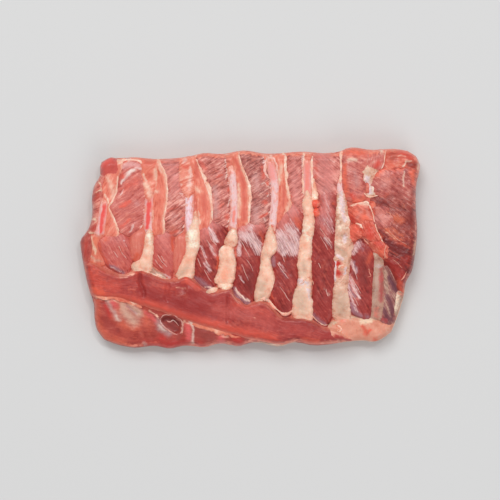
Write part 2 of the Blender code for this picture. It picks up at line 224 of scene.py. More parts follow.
class Tone:
    """A value or colour on its way through a material; arithmetic on it adds Math nodes."""

    def __init__(self, tree, socket=None):
        self.tree, self.socket = tree, socket

    def node(self, kind, settings, inputs, out=0):
        made = self.tree.nodes.new("ShaderNode" + kind)
        for key, value in settings.items():
            setattr(made, key, value)
        for key, value in inputs.items():
            if isinstance(value, Tone):
                self.tree.links.new(value.socket, made.inputs[key])
            else:
                made.inputs[key].default_value = value
        return Tone(self.tree, made.outputs[out])

    def math(self, kind, a, b):
        return self.node("Math", {"operation": kind}, {0: a, 1: b})

    def __add__(self, other):
        return self.math("ADD", self, other)

    def __sub__(self, other):
        return self.math("SUBTRACT", self, other)

    def __rsub__(self, other):
        return self.math("SUBTRACT", other, self)

    def __mul__(self, other):
        return self.math("MULTIPLY", self, other)

    __radd__, __rmul__ = __add__, __mul__

    def size(self):
        return self.node("Math", {"operation": "ABSOLUTE"}, {0: self})

    def between(self, low, high):
        """0 at low, 1 at high, smooth between."""
        ends = {"From Min": low, "From Max": high, "Value": self}
        return self.node("MapRange", {"interpolation_type": "SMOOTHSTEP"}, ends)

    def blend(self, first, second):
        """The first colour where this is 0, the second where it is 1."""
        return self.node("Mix", {"data_type": "RGBA"}, {0: self, 6: first, 7: second}, out=2)


def attribute(start, name, out="Fac"):
    return start.node("Attribute", {"attribute_name": name}, {}, out=out)


def cloud(start, where, scale, detail=2.0):
    """Noise between 0 and 1; where is a vector, scale its lumps to the metre."""
    return start.node("TexNoise", {}, {"Vector": where, "Scale": scale, "Detail": detail})


def shaded(paint, share):
    """The paint made darker or lighter by the share."""
    return tone(*(min(c * share, 255) for c in paint))


def new_material(name):
    """A material, the tree it is written in, and the place on the object."""
    material = bpy.data.materials.new(name)
    material.use_nodes = True
    start = Tone(material.node_tree)
    return material, start, start.node("TexCoord", {}, {}, out="Object")


def finished(start, colour, rough, coat, bump, soak=0.12):
    """Ends a material: moist flesh that lets a little light in and has a thin wet film."""
    shader = start.tree.nodes["Principled BSDF"]
    for name, value in (("Base Color", colour), ("Roughness", rough), ("Coat Weight", coat),
                        ("Normal", bump)):
        start.tree.links.new(value.socket, shader.inputs[name])
    for name, value in (("Subsurface Weight", soak), ("Subsurface Radius", (1.0, 0.45, 0.3)),
                        ("Subsurface Scale", 1.4 * MM), ("Specular IOR Level", 0.28),
                        ("Coat Roughness", 0.18)):
        shader.inputs[name].default_value = value


def flesh(name, dark, mid, light, layers=(), hem=None, tips=None, lip_and_painted_light=None, veins=0.0,
          contrast=1.0, coat=0.12):
    """Raw muscle: threads of darker and lighter red, partly painted light and shade that follows the ridges,
    with painted-on layers such as fat.
    """
    orange_glow = (222, 124, 96)
    material, start, place = new_material(name)
    fibre = attribute(start, "fibre", "Vector")

    def drawn_out(scale, stretch):
        along = start.node("Mapping", {}, {"Vector": fibre, "Scale": (stretch, 1, 1)})
        return cloud(start, along, scale, 2.0) - 0.5

    threads, hairs, strands = drawn_out(750, 0.16), drawn_out(1700, 0.10), drawn_out(520, 0.08)
    blotch, dapple = cloud(start, place, 90, 3.0) - 0.5, cloud(start, place, 330, 3.0) - 0.5
    speck = cloud(start, place, 1300, 2.0) - 0.5
    # The ridge term paints the tops of the fibre ridges lighter and the furrows darker: painted light and
    # shade that follow the relief, mixed with the threads' own darker and lighter red.
    shade = (attribute(start, "ridge") * 0.34 + threads * 1.1 + hairs * 0.8 + speck * 0.5
             + dapple * 0.7 + blotch * 0.8) * contrast + 0.5
    colour = shade.between(0.08, 0.5).blend(tone(*dark), tone(*mid))
    colour = shade.between(0.5, 0.98).blend(colour, tone(*light))
    warmed = (blotch * -1.6 + dapple * 1.0 + threads * 0.8).between(0.05, 0.5) * 0.5
    colour = warmed.blend(colour, tone(*(0.5 * (m + g) for m, g in zip(mid, orange_glow))))
    tatter = dapple * 0.9 + threads * 0.7 + speck * 0.3
    if veins:
        seen = strands.size().between(0.022, 0.0) * (blotch + dapple).between(-0.1, 0.15) * veins
        colour = seen.blend(colour, tone(240, 184, 170))
    if tips:
        seen = (attribute(start, "right") * -0.28 + hairs * 2.2 + threads * 2.0 + 0.55).between(
            0.1, 0.5) * attribute(start, "right").between(5, 0.5)
        colour = (seen * 0.9).blend(colour, tone(*tips))
    if hem:
        seen = (attribute(start, "right") + tatter * 3.4).between(3.2, 0.8) * dapple.between(-0.2, 0.02)
        colour = (seen * 0.85).blend(colour, tone(*hem))
    # The lip: the skirt's orange-red rounded edge, painted lighter than its own colour as painted light on an
    # edge that lies in shade.
    if lip_and_painted_light:
        seen = (attribute(start, "edge") + tatter * 4.0).between(6.0, 1.0)
        colour = (seen * 0.8).blend(colour, tone(*lip_and_painted_light))
    # The rim: the cut edge's own orange, brightened as painted light along the rounded edges, most along the
    # lower and right ones that face away from the key lamp.
    seen = (attribute(start, "rimmed") + tatter * 1.4).between(0.25, 0.95) * 0.8
    colour = seen.blend(colour, dapple.between(-0.12, 0.16).blend(tone(244, 116, 90),
                                                                  tone(252, 158, 132)))
    for layer, paint, *look in layers:
        mask = attribute(start, layer)
        tinted = shade.between(-0.4, 1.4).blend(shaded(paint, 0.91), shaded(paint, 1.12))
        if not look:
            colour = ((mask + tatter * 0.45).between(0.12, 1.0) * 0.9).blend(colour, tinted)
        elif "crisp" in look:
            colour = ((mask + tatter * 1.2).between(0.28, 0.8) * 0.9).blend(colour, tinted)
        else:
            colour = ((mask + tatter * 0.8).between(0.2, 0.9) * 0.62).blend(colour, tinted)
            seen = (hairs * 2.4 + threads * 1.4 + mask).between(0.75, 1.05) * mask.between(0.1, 0.5)
            thin = strands.size().between(0.035, 0.01) * mask.between(0.15, 0.5)
            colour = ((seen + thin) * 0.75).blend(colour, shaded(paint, 1.06))
    height = threads * 0.5 + hairs * 0.45 + speck * 0.35 + dapple * 0.3
    bump = start.node("Bump", {}, {"Height": height, "Strength": 0.7, "Distance": 0.6 * MM})
    finished(start, colour, 0.34 + blotch * 0.3, blotch.between(-0.2, 0.2) * coat + coat * 0.5, bump)
    return material


def unit_slab(columns, rows, walls):
    """A closed block on a grid from -1 to 1: its rim steps down `walls` times, then is closed."""
    shape = bmesh.new()
    bmesh.ops.create_grid(shape, x_segments=columns, y_segments=rows, size=1)
    rim = [e for e in shape.edges if e.is_boundary]
    for _ in range(walls):
        grown = bmesh.ops.extrude_edge_only(shape, edges=rim)["geom"]
        down = [g for g in grown if isinstance(g, bmesh.types.BMVert)]
        bmesh.ops.translate(shape, vec=(0, 0, -1), verts=down)
        rim = [g for g in grown if isinstance(g, bmesh.types.BMEdge) and g.is_boundary]
    bmesh.ops.edgeloop_fill(shape, edges=rim)
    bmesh.ops.recalc_face_normals(shape, faces=shape.faces)
    return shape


def into_scene(name, data):
    """A new object with this data, at the origin of the scene."""
    made = bpy.data.objects.new(name, data)
    bpy.context.scene.collection.objects.link(made)
    return made


def lay_down(name, shape, place, material):
    """Makes a named piece: place(u, v, step) turns unit coordinates into mm and attributes."""
    mesh = bpy.data.meshes.new(name)
    shape.to_mesh(mesh)
    shape.free()
    unit = np.zeros(len(mesh.vertices) * 3, np.float32)
    mesh.vertices.foreach_get("co", unit)
    u, v, step = unit.reshape(-1, 3).astype(float).T
    where, values = place(u, v, -step)
    mesh.vertices.foreach_set("co", (np.stack(where, axis=1) * MM).astype(np.float32).ravel())
    for key, value in values.items():
        kind = "FLOAT_VECTOR" if value.ndim == 2 else "FLOAT"
        made = mesh.attributes.new(key, kind, "POINT")
        made.data.foreach_set("vector" if value.ndim == 2 else "value",
                              value.astype(np.float32).ravel())
    mesh.materials.append(material)
    mesh.shade_smooth()
    mesh.update()
    piece = into_scene(name, mesh)
    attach(piece, "root")
    return piece


def side(first, last):
    """The outline from one corner to another as a function of the share 0 to 1 of its length."""
    ends = [int(np.argmin(np.hypot(*(waist - CORNERS[c]).T))) for c in (first, last)]
    count = (ends[1] - ends[0]) % len(waist)
    path = waist[(ends[0] + np.arange(count + 1)) % len(waist)]
    along = np.insert(np.cumsum(np.hypot(*np.diff(path, axis=0).T)), 0, 0)
    return lambda share: np.stack([np.interp(share * along[-1], along, c) for c in path.T])


upper, right = side("upper left", "upper right"), side("upper right", "lower right")
lower, left = side("lower right", "lower left"), side("lower left", "upper left")
WALL_STEPS = [(11.5, 0.0), (10.4, 0.15), (9.2, 0.3), (8.0, 0.5), (6.8, 0.7), (5.6, 0.9),
              (4.4, 1.2), (3.2, 1.6), (2.2, 2.1), (1.2, 2.9), (0.5, 3.8), (0.0, 5.0)]


def place_slab(u, v, step):
    """The four sides of the outline, blended over the grid; below the waist it draws in."""
    s, t = (0.5 * (1 + crowd(w, 0.38)) for w in (u, v))
    plan = (1 - t) * lower(1 - s) + t * upper(s) + (1 - s) * left(t) + s * right(1 - t)
    plan -= (1 - s) * (1 - t) * left(np.zeros_like(s)) + s * (1 - t) * lower(np.zeros_like(s))
    plan -= (1 - s) * t * upper(np.zeros_like(s)) + s * t * right(np.zeros_like(s))
    x, y = plan
    z = bed(x, y)
    heights, insets = np.array(WALL_STEPS).T
    wall = np.maximum(step - 1, 0) + 1
    under = step > 0.5
    lean = 1 - np.interp(wall, np.arange(len(insets)), insets) / HALF_WIDE
    x = np.where(under, x * lean, x)
    y = np.where(under, y * lean, y)
    slack = under * (0.5 * lumps(x, y + wall, 6, 2.0) + 0.25 * lumps(x, y + wall, 2.4, 3.0))
    x, y = (x - slack * (edge_gap(x + 1, y) - edge_gap(x - 1, y)) / 2,
            y - slack * (edge_gap(x, y + 1) - edge_gap(x, y - 1)) / 2)
    z = np.where(under, np.interp(wall, np.arange(len(heights)), heights), z)
    fibre = np.stack([x + y * 0.3, z * 1.5 + y * 0.25, 0 * x], axis=1) * MM
    warm = strokes(x, y, [[(-105, 76, 9), (-60, 76, 9), (0, 80, 9), (70, 80, 9)]])
    deep = strokes(x, y, [[(140, 40, 12), (138, 0, 10), (128, -30, 8)],
                          [(-128, -50, 10), (-115, -80, 10), (-60, -84, 10)],
                          [(-140, 5, 9), (-137, -20, 8)], [(0, -80, 8), (60, -80, 8)]])
    pale = np.maximum(strokes(x, y, [[(80, -78, 6), (116, -70, 7), (124, -45, 5), (127, -35, 3)]]),
                      rise(7, 12, z) * strokes(x, y, [[(5, -79, 3), (35, -80, 3)]]))
    cap = rise(6.0, 3.0, z + 1.5 * lumps(x, y, 14, 5.0)) * under
    seam = rise(0.9, 0.2, np.abs(z - 8.2 - 1.3 * lumps(x, y, 22, 6.0))) * under
    # The rim value marks the orange rim, partly painted light along the rounded edges.
    return (x, y, z), {
        "fibre": fibre, "ridge": lumps(x, y, 3, 4.0), "edge": edge_gap(x, y),
        "rimmed": rim_and_painted_light(x, y) * rise(5, 9, z), "warm": warm, "deep": deep,
        "pale": np.maximum(pale, np.maximum(cap, 0.8 * seam))}


slab_finish = flesh("slab of raw pork", (176, 78, 66), (210, 108, 92), (236, 148, 128),
                    layers=[("warm", (240, 136, 114)), ("deep", (168, 64, 54)),
                            ("pale", (236, 184, 158), "crisp")])
slab = lay_down("slab", unit_slab(300, 180, len(WALL_STEPS) - 1), place_slab, slab_finish)
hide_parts("meat")


# Rib muscles, upper half
# Between two bones the inner side shows thin sheets of muscle, whose threads slant up to the
# right. Each is its own long swelling, grown to the bone on its right and, on its left, ending at
# the line of fat that edges the strip beside the next bone.
FAR = 99


def swell(name, rows, material, lift=1.6, radius=4.0, along="y", slant=None, ridge=0.22,
          pitch=2.0, sink=0.9, dome=0.4, uneven=0.25, step=0.5, seed=1.0, marks=None,
          roll=None, rounding=(5, 5), fray=0.0, spread=1.1, grain=0.0, ragged=1.0, tuck=0.0,
          dip=0.0):
    """A long swelling on the slab. rows are (place along it, one side, other side) in mm.

    slant turns the fibres, in degrees. tuck and dip draw the start under the skirt and the end
    down. rounding is the length of the round start and end, 0 for a cut end. fray makes a toothed
    right side. marks are painted layers, and roll(x, y) is a height that is added.
    """
    rows = np.array(rows, float)
    one, other = smooth_line(rows[:, :2]), smooth_line(rows[:, [0, 2]])
    start, end = rows[0, 0] - tuck, rows[-1, 0]
    across = int((max(rows[:, 2] - rows[:, 1]) + 2 * spread) / step) + 4
    length = int((end - start) / step) + 4

    def place(u, v, down):
        if along == "x":
            u, v = v, u
        off = crowd(u, 0.25)
        at = start + (end - start) * (v * 1.5 - 0.5 * v**3 + 1 + (v - v**3) * -0.4) / 2
        low, high = one(at) - spread, other(at) + spread
        round_low = np.clip((at - start) / max(rounding[0], 0.01) + 0.02, 0, 1)
        round_high = np.clip((end - at) / max(rounding[1], 0.01) + 0.02, 0, 1)
        half = (high - low) / 2 + ragged * (0.55 * lumps(at, np.sign(u) * 9, 4.0, seed)
                                            + 0.35 * lumps(at, np.sign(u) * 9, 1.6, seed + 4))
        half = np.maximum(half * np.sqrt(1 - (1 - round_low) ** 2) * np.sqrt(1 - (1 - round_high) ** 2),
                          0.2)
        side_way = (low + high) / 2 + off * half
        x, y = (at, side_way) if along == "x" else (side_way, at)
        x, y = keep_inside(x, y, 0.5)
        if slant is None:
            fu, fv = at, off * (high - low).mean() / 2
        else:
            turn = math.radians(slant)
            fu, fv = x * math.cos(turn) + y * math.sin(turn), y * math.cos(turn) - x * math.sin(turn)
        fv = fv + 1.6 * lumps(x, y, 22, seed + 2)
        right_gap = half * (1 - off)
        edge = half * (1 - np.abs(off))
        edge = np.minimum(edge, 0.7 * np.minimum(at - start + FAR * (rounding[0] == 0),
                                                 end - at + FAR * (rounding[1] == 0)) + 0.1)
        teeth = fray * lumps(fu / 6, fv, 1.0, seed + 7) * rise(5, 1, right_gap) * rise(0, 1.0, edge)
        q = np.clip((edge + teeth) / radius, 0, 1)
        body = np.sqrt(np.clip(1 - (1 - q) ** 2, 0, 1)) * edge_fall(x, y)
        comb = lumps(fu / 7, fv, pitch, seed) * 0.7 + lumps(fu / 9, fv, pitch * 0.45, seed + 5) * 0.5
        top = bed(x, y) - sink + (lift + sink) * body + dome * (1 - off * off) * body
        top += (ridge * comb + uneven * lumps(x, y, 7, seed) + grain * lumps(x, y, 2.2, seed)) * body
        if roll is not None:
            top += roll(x, y) * body
        top -= dip * rise(end - 13, end - 1, at)
        if tuck:
            top -= 4.5 * rise(0.6, -3.4, y - flap_edge(x))
        z = np.where(down > 0.5, bed(x, y) - sink - 4.0, top)
        # The rim value marks the orange rim, partly painted light along the rounded edges.
        values = {"fibre": np.stack([fu, fv, 0 * fu], axis=1) * MM, "ridge": comb, "edge": edge,
                  "right": right_gap, "rimmed": rim_and_painted_light(x, y)}
        for layer, lines in (marks or {}).items():
            values[layer] = strokes(x, y, lines)
        return (x, y, z), values

    columns, lines = (length, across) if along == "x" else (across, length)
    piece = lay_down(name, unit_slab(columns, lines, 1), place, material)
    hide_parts("meat")
    return piece


slanted_layers = [("pale", (248, 204, 192)), ("red", (212, 88, 70)), ("grey", (198, 137, 131)),
                  ("smooth", (208, 125, 118))]
first_panel = flesh("rib muscle, first", (176, 74, 66), (206, 108, 98), (234, 152, 138),
                    layers=[("pale", (246, 210, 202)), ("grey", (216, 150, 146)),
                            ("red", (224, 92, 74))], contrast=1.0, tips=(250, 220, 210))
panel = flesh("rib muscle", (156, 72, 62), (203, 114, 104), (240, 168, 154), layers=slanted_layers,
              contrast=1.2, veins=0.55, tips=(250, 218, 208))
dusky_panel = flesh("rib muscle, dusky", (138, 68, 62), (186, 106, 98), (230, 166, 152),
                    layers=slanted_layers, contrast=1.25, veins=0.6, tips=(244, 212, 206))
swell("rib_muscle_0",
      [(11, -133, -126.5), (20, -134, -124.5), (30, -133, -123.5), (40, -132, -120.5),
       (50, -130.5, -120), (57, -129, -119), (62, -126, -118)],
      flesh("rib muscle, cut end", (168, 74, 64), (212, 112, 100), (234, 160, 142),
            layers=[("pale", (232, 192, 164), "crisp"), ("red", (186, 66, 56))], contrast=1.2),
      slant=35, ridge=0.4, pitch=2.6, seed=2.0,
      marks={"pale": [(0.7, [(-125, 57, 0.7), (-123, 52, 0.8), (-122, 46, 0.6)]),
                      (0.8, [(-128, 55, 0.7), (-122, 61, 1.0)]),
                      (0.8, [(-131, 25, 2.0), (-126, 22, 1)]), [(-126, 45, 0.4), (-122, 47, 0.4)],
                      [(-127, 41, 0.4), (-122, 43, 0.4)], (0.9, [(-132, 12.5, 1.8), (-127, 12, 1.2)])],
             "red": [[(-129, 40, 3), (-123, 43, 1.6)], [(-129, 16, 2.6), (-126, 18, 1.5)]]})
swell("rib_muscle_1",
      [(9, -102, -94), (14, -107.5, -91), (20, -110, -88), (25, -112, -87), (30, -114.5, -86.5),
       (33, -115.5, -86.2), (38, -112.5, -85.6), (45, -110, -84.8), (52, -108.5, -85.2),
       (58, -106, -86), (64, -105, -86.5), (70, -104.5, -89), (75, -103, -91), (81, -102, -93)],
      first_panel, slant=33, ridge=0.32, pitch=3.0, seed=3.0, fray=0.7, rounding=(5, 0),
      roll=lambda x, y: -0.9 * strokes(x, y, [[(-103, 55, 0.5), (-98, 59.5, 0.9), (-93, 61.5, 1.1),
                                               (-88, 60.5, 0.8)]], 0.3)
      - 0.7 * strokes(x, y, [[(-100, 70, 3), (-92, 68, 2.4)]], 0.3),
      marks={"pale": [[(-105.5, 53, 0.8), (-102, 58.5, 1.5), (-98, 62.5, 1.6), (-94, 64, 1.1)],
                      (0.9, [(-94, 66, 0.7), (-89, 65, 0.9), (-86.5, 67, 0.7)]),
                      (0.7, [(-104, 66, 1.2), (-99, 72, 0.8)]), (0.8, [(-106, 72, 1.0), (-98, 74, 0.8)]),
                      (0.7, [(-96, 18, 1.0), (-98, 14, 0.8)]), (0.8, [(-104, 48, 0.6), (-106, 44, 0.6)])],
             "grey": [(0.9, [(-103, 67, 2.4), (-98, 69, 3.0), (-91, 67, 2)]), (0.6, [(-104, 50, 1.2)]),
                      (0.7, [(-92, 36, 3)]), (0.5, [(-94, 20, 2)])],
             "red": [[(-106, 33.5, 1.3), (-98, 38.5, 1.6)], (0.7, [(-105, 18, 2), (-98, 24, 1.4)]),
                     (0.6, [(-104, 48, 3), (-94, 54, 4)]), (0.8, [(-104, 59, 2.4)])]})
swell("rib_muscle_2",
      [(9, -65, -59), (14, -69.5, -55.5), (20, -70.5, -53.5), (30, -69.5, -52),
       (38, -68, -51.8), (45, -67.8, -53.5), (52, -68, -56), (60, -70, -57), (66, -73, -57),
       (70, -75, -56.5), (74, -77, -56), (81, -77, -56)],
      panel, slant=36, ridge=0.30, seed=4.0, fray=0.8, rounding=(5, 0),
      marks={"red": [(0.8, [(-66, 12, 1.6), (-60, 14, 1.5)]), (0.7, [(-68, 30, 1), (-60, 34, 0.8)]),
                     [(-55, 24, 1.4)], (0.6, [(-59, 66, 2)]), (0.7, [(-57, 58, 2), (-57, 48, 1.4)])],
             "grey": [(0.6, [(-66, 42, 3)]), (0.6, [(-62, 26, 3)])],
             "smooth": [(0.8, [(-66, 72, 9), (-62, 58, 8), (-61, 50, 6)])],
             "pale": [(0.8, [(-58, 44.5, 0.4), (-52, 43.5, 0.5)]), (0.7, [(-57, 39, 0.4), (-52, 40, 0.4)]),
                      (0.7, [(-57, 35, 0.3), (-52, 36.5, 0.4)])]})
swell("rib_muscle_3",
      [(14, -26, -20), (20, -29, -18), (25, -31, -16.5), (35, -31.5, -15.6), (45, -33, -16),
       (52, -35, -17), (60, -38, -18.5), (66, -41, -20), (72, -44, -20.5), (81, -45, -21)],
      panel, slant=30, ridge=0.30, seed=5.0, fray=0.8, rounding=(5, 0),
      marks={"red": [[(-17.5, 48, 1.5)], (0.7, [(-26, 33, 2), (-22, 36, 1.6)]), [(-19, 25.5, 2)],
                     (0.7, [(-40, 70, 2), (-36, 64, 2)]), (0.8, [(-23, 60, 1.0), (-28, 58, 0.8)])],
             "grey": [(0.9, [(-29, 50, 2.5), (-27, 40, 2), (-28, 27, 3)]),
                      (0.8, [(-30, 20, 2), (-27, 18, 2)])],
             "pale": [(0.7, [(-20, 56, 0.6), (-19, 66, 0.7)]), (0.7, [(-18, 34, 0.6), (-17, 40, 0.8)])]})
swell("rib_muscle_4",
      [(10, 6, 14), (16, 0, 15.5), (20, -0.8, 16), (28, 0, 16.5), (38, 0.8, 17.5), (48, 0.8, 17),
       (56, -0.8, 16), (62, -3.5, 14.5), (70, -7, 11.5), (76, -8.5, 11), (81, -9, 11)],
      dusky_panel, slant=30, ridge=0.30, seed=6.0, fray=0.7, rounding=(5, 0),
      marks={"red": [[(14.5, 53, 1.6)], [(9, 25.5, 1.4), (14, 28, 1)], (0.8, [(10, 66, 2), (11, 58, 2)]),
                     (0.8, [(10, 18, 2.4), (12, 10, 2)]), [(12, 37, 1.8)], (0.8, [(14, 45, 1.4)])],
             "pale": [[(9, 51.5, 0.3), (12, 53, 0.5), (16, 50.5, 0.4)],
                      (0.7, [(14, 42, 0.6), (15, 46, 0.6)]), (0.7, [(11, 25, 0.5), (13, 22, 0.7)])],
             "grey": [(0.9, [(4, 58, 2.5), (6, 48, 2)]), (0.9, [(5, 32, 4), (5, 22, 3)])]})
swell("rib_muscle_5",
      [(18, 40, 44), (25, 38, 44.5), (32, 37, 44.5), (38, 35, 44), (44, 33, 43.7), (52, 31.5, 43.4),
       (60, 31, 43.2), (70, 30, 43), (81, 29, 43)],
      panel, slant=33, ridge=0.30, seed=7.0, fray=0.4, rounding=(5, 0),
      marks={"red": [(0.8, [(31, 74, 1.4)]), [(33.5, 42, 1.2)], [(40, 24, 2.5)], (0.6, [(40, 60, 1.4)])],
             "pale": [(0.7, [(42.5, 76, 0.8), (42.5, 66, 0.6)])], "grey": [(0.5, [(36, 56, 3), (38, 46, 2)])],
             "smooth": [(0.7, [(37, 36, 4), (36, 66, 6)])]})
swell("rib_muscle_6",
      [(40, 57, 71), (46, 55.5, 71.5), (50, 55, 72), (55, 53, 73.4), (62, 50, 74.4), (70, 50, 74.8),
       (76, 51, 75), (81, 51, 75)],
      panel, slant=-40, ridge=0.28, seed=8.0, rounding=(6, 0),
      marks={"red": [[(53.5, 58, 1.8)], [(53, 66, 1.4), (56, 63, 1.0)], (0.8, [(56, 74, 3), (54, 70, 2)]),
                     (0.7, [(70, 46, 1.2)])],
             "grey": [(0.8, [(63, 48, 5)])],
             "pale": [(0.7, [(66, 72, 0.4), (69, 70, 0.4)]), (0.6, [(64, 68, 0.4), (68, 67, 0.3)])],
             "smooth": [(0.95, [(60, 74, 8), (62, 62, 8), (62, 50, 6), (64, 44, 6)])]})


# Strips beside the bones
# A smooth orange-red strip of muscle runs down the right side of each bone. The line of fat along
# its outer border stands up as a thin cord.
strip = flesh("strip muscle", (206, 92, 72), (233, 128, 107), (248, 172, 150),
              layers=[("pale", (248, 190, 168)), ("red", (208, 97, 81)), ("cream", (250, 214, 192)),
                      ("vivid", (236, 90, 70))],
              contrast=0.8, hem=(248, 202, 178))
swell("strip_1",
      [(8, -119.5, -107), (20, -118.5, -110), (28, -118, -113.5), (33, -118, -115),
       (38, -120, -112.5), (45, -121, -110), (52, -121, -109), (58, -120, -107.5),
       (64, -118, -105), (70, -116, -103), (76, -112, -99), (81, -112, -99)],
      strip, lift=1.7, seed=11.0, slant=60, ridge=0.12, uneven=0.5, grain=0.15, rounding=(4, 0),
      marks={"pale": [(0.8, [(-117, 58, 2), (-113, 48, 2.5), (-112, 40, 2)]),
                      (0.8, [(-107, 70, 2), (-108, 76, 2)])],
             "red": [[(-106, 59, 3)], (0.7, [(-109, 66, 2.5)]), (0.6, [(-116, 52, 2)])],
             "cream": [(0.7, [(-119, 44, 1.0), (-116, 37, 0.8)])]})
swell("strip_2",
      [(9, -80.5, -69), (14, -80.5, -70), (20, -80.5, -71), (28, -80, -70.5), (35, -79.5, -68.8),
       (45, -79, -68.3), (52, -77, -68.8), (60, -76, -69.8), (66, -77, -72), (74, -79, -75), (81, -79, -75)],
      strip, lift=1.9, seed=12.0, ridge=0.12, rounding=(5, 0),
      marks={"red": [(0.5, [(-73.5, 58, 1.6), (-74.5, 46, 2), (-74, 34, 1.8)]), (0.6, [(-75, 22, 2.5)])],
             "pale": [(0.9, [(-78, 47, 1.4), (-75, 46, 1.0)]), (0.8, [(-75, 70, 2), (-72.5, 62, 1.2)]),
                      (0.8, [(-79.5, 30, 1), (-80, 20, 1)])],
             "cream": [(0.6, [(-76, 71, 1.2)])]})
swell("rib_cover_2",
      [(35, -83, -81.5), (40, -84.6, -80), (46, -86.5, -77.5), (52, -88, -76), (58, -88.5, -75.5),
       (66, -89.5, -76), (74, -90, -76), (81, -90, -76)],
      strip, lift=2.2, seed=13.0, slant=28, ridge=0.14, uneven=0.6, grain=0.25, rounding=(6, 0),
      marks={"red": [(0.8, [(-85, 70, 4), (-79, 70, 3)]), [(-82, 59, 2.2)], (0.7, [(-79, 45, 1.5)])],
             "pale": [(0.9, [(-86, 52, 2), (-83, 48, 2), (-82, 43, 2)]),
                      (0.9, [(-77, 57, 1.4), (-78, 64, 1.6)])],
             "cream": [(0.7, [(-87, 60, 1.2), (-85, 55, 1.0)]), (0.7, [(-84, 45, 1.0)])]})
swell("rib_cover_3",
      [(38, -51.5, -49.5), (43, -54, -47), (48, -56.5, -45.5), (53, -57.5, -45.5), (56, -58, -46),
       (62, -58, -47), (68, -58, -48), (75, -57.5, -49), (81, -57.5, -49)],
      flesh("thin flesh over a bone", (218, 110, 90), (237, 143, 122), (250, 188, 168),
            layers=[("pale", (248, 200, 188)), ("red", (222, 96, 78))], contrast=1.2, veins=0.4),
      lift=2.3, seed=14.0, slant=28, ridge=0.2, uneven=0.6, grain=0.25, rounding=(7, 0),
      marks={"red": [(0.9, [(-55, 66.5, 1.6), (-52, 67, 1.6)]), (0.8, [(-47, 70, 2)]),
                     (0.6, [(-54, 56, 1.4)])],
             "pale": [(0.8, [(-53, 73, 1.5), (-55, 70, 1.2)]),
                      (0.7, [(-49, 66, 1.4), (-48.5, 58, 1.6), (-50, 48, 2)]), (0.8, [(-56, 52, 1)])]})
swell("strip_3",
      [(11, -42.5, -33), (22, -42.5, -31.5), (30, -42.5, -31), (40, -43.5, -32.5), (48, -45, -34.5),
       (55, -46, -36.5), (62, -47, -39.5), (68, -49, -42.5), (76, -50, -45), (81, -50, -45)],
      strip, lift=2.1, seed=15.0, ridge=0.12, rounding=(5, 0),
      marks={"red": [(0.9, [(-44, 70, 1.8), (-43, 58, 1.6)]), (0.9, [(-38, 42, 2.2), (-36.5, 30, 2.6)]),
                     (0.8, [(-37, 17, 3.5)])],
             "pale": [(0.8, [(-45, 50, 1.6), (-42, 46, 1.5)]), (0.7, [(-35, 30, 1.2)])],
             "cream": [(0.7, [(-41, 20, 1.0), (-42, 30, 0.8)])]})
swell("strip_4",
      [(15, -10.5, -1.5), (22, -10.7, -1), (28, -10.6, -0.6), (38, -10.6, -0.6), (48, -11, -1),
       (56, -11.6, -3), (62, -12.2, -5.2), (70, -13.8, -8.2), (76, -14.2, -9.2), (81, -14.2, -9.2)],
      strip, lift=1.9, seed=16.0, ridge=0.12, rounding=(6, 0),
      marks={"red": [[(-5, 24, 1.7), (-4.5, 40, 1.8), (-5.5, 52, 1.8), (-8.5, 63, 1.5), (-12, 73, 1.4)]],
             "pale": [(0.9, [(-9, 25, 1.3), (-8.8, 40, 1.2), (-9.5, 52, 1.2)]), (0.7, [(-2.5, 20, 1.2)])],
             "cream": [(0.8, [(-10.4, 32, 0.7), (-10, 44, 0.6)])]})
swell("strip_5",
      [(18, 21.5, 29), (24, 21.8, 32), (30, 22, 35), (36, 23, 34), (42, 24, 31.5), (50, 23.6, 30.5),
       (58, 23, 30), (66, 22, 29.5), (76, 21, 29), (81, 21, 29)],
      strip, lift=1.8, seed=17.0, ridge=0.14, uneven=0.35, rounding=(6, 0),
      marks={"red": [(0.9, [(27.5, 50, 1.4), (28, 40, 1.3), (27, 33, 1.3)]), (0.8, [(24, 28, 1.6)]),
                     (0.6, [(25, 74, 2)])],
             "cream": [(0.9, [(23, 56, 1.6)])],
             "pale": [(0.9, [(25, 66, 2), (23, 52, 1.5)]), (0.8, [(32, 36, 1.6), (30, 26, 2)])]})

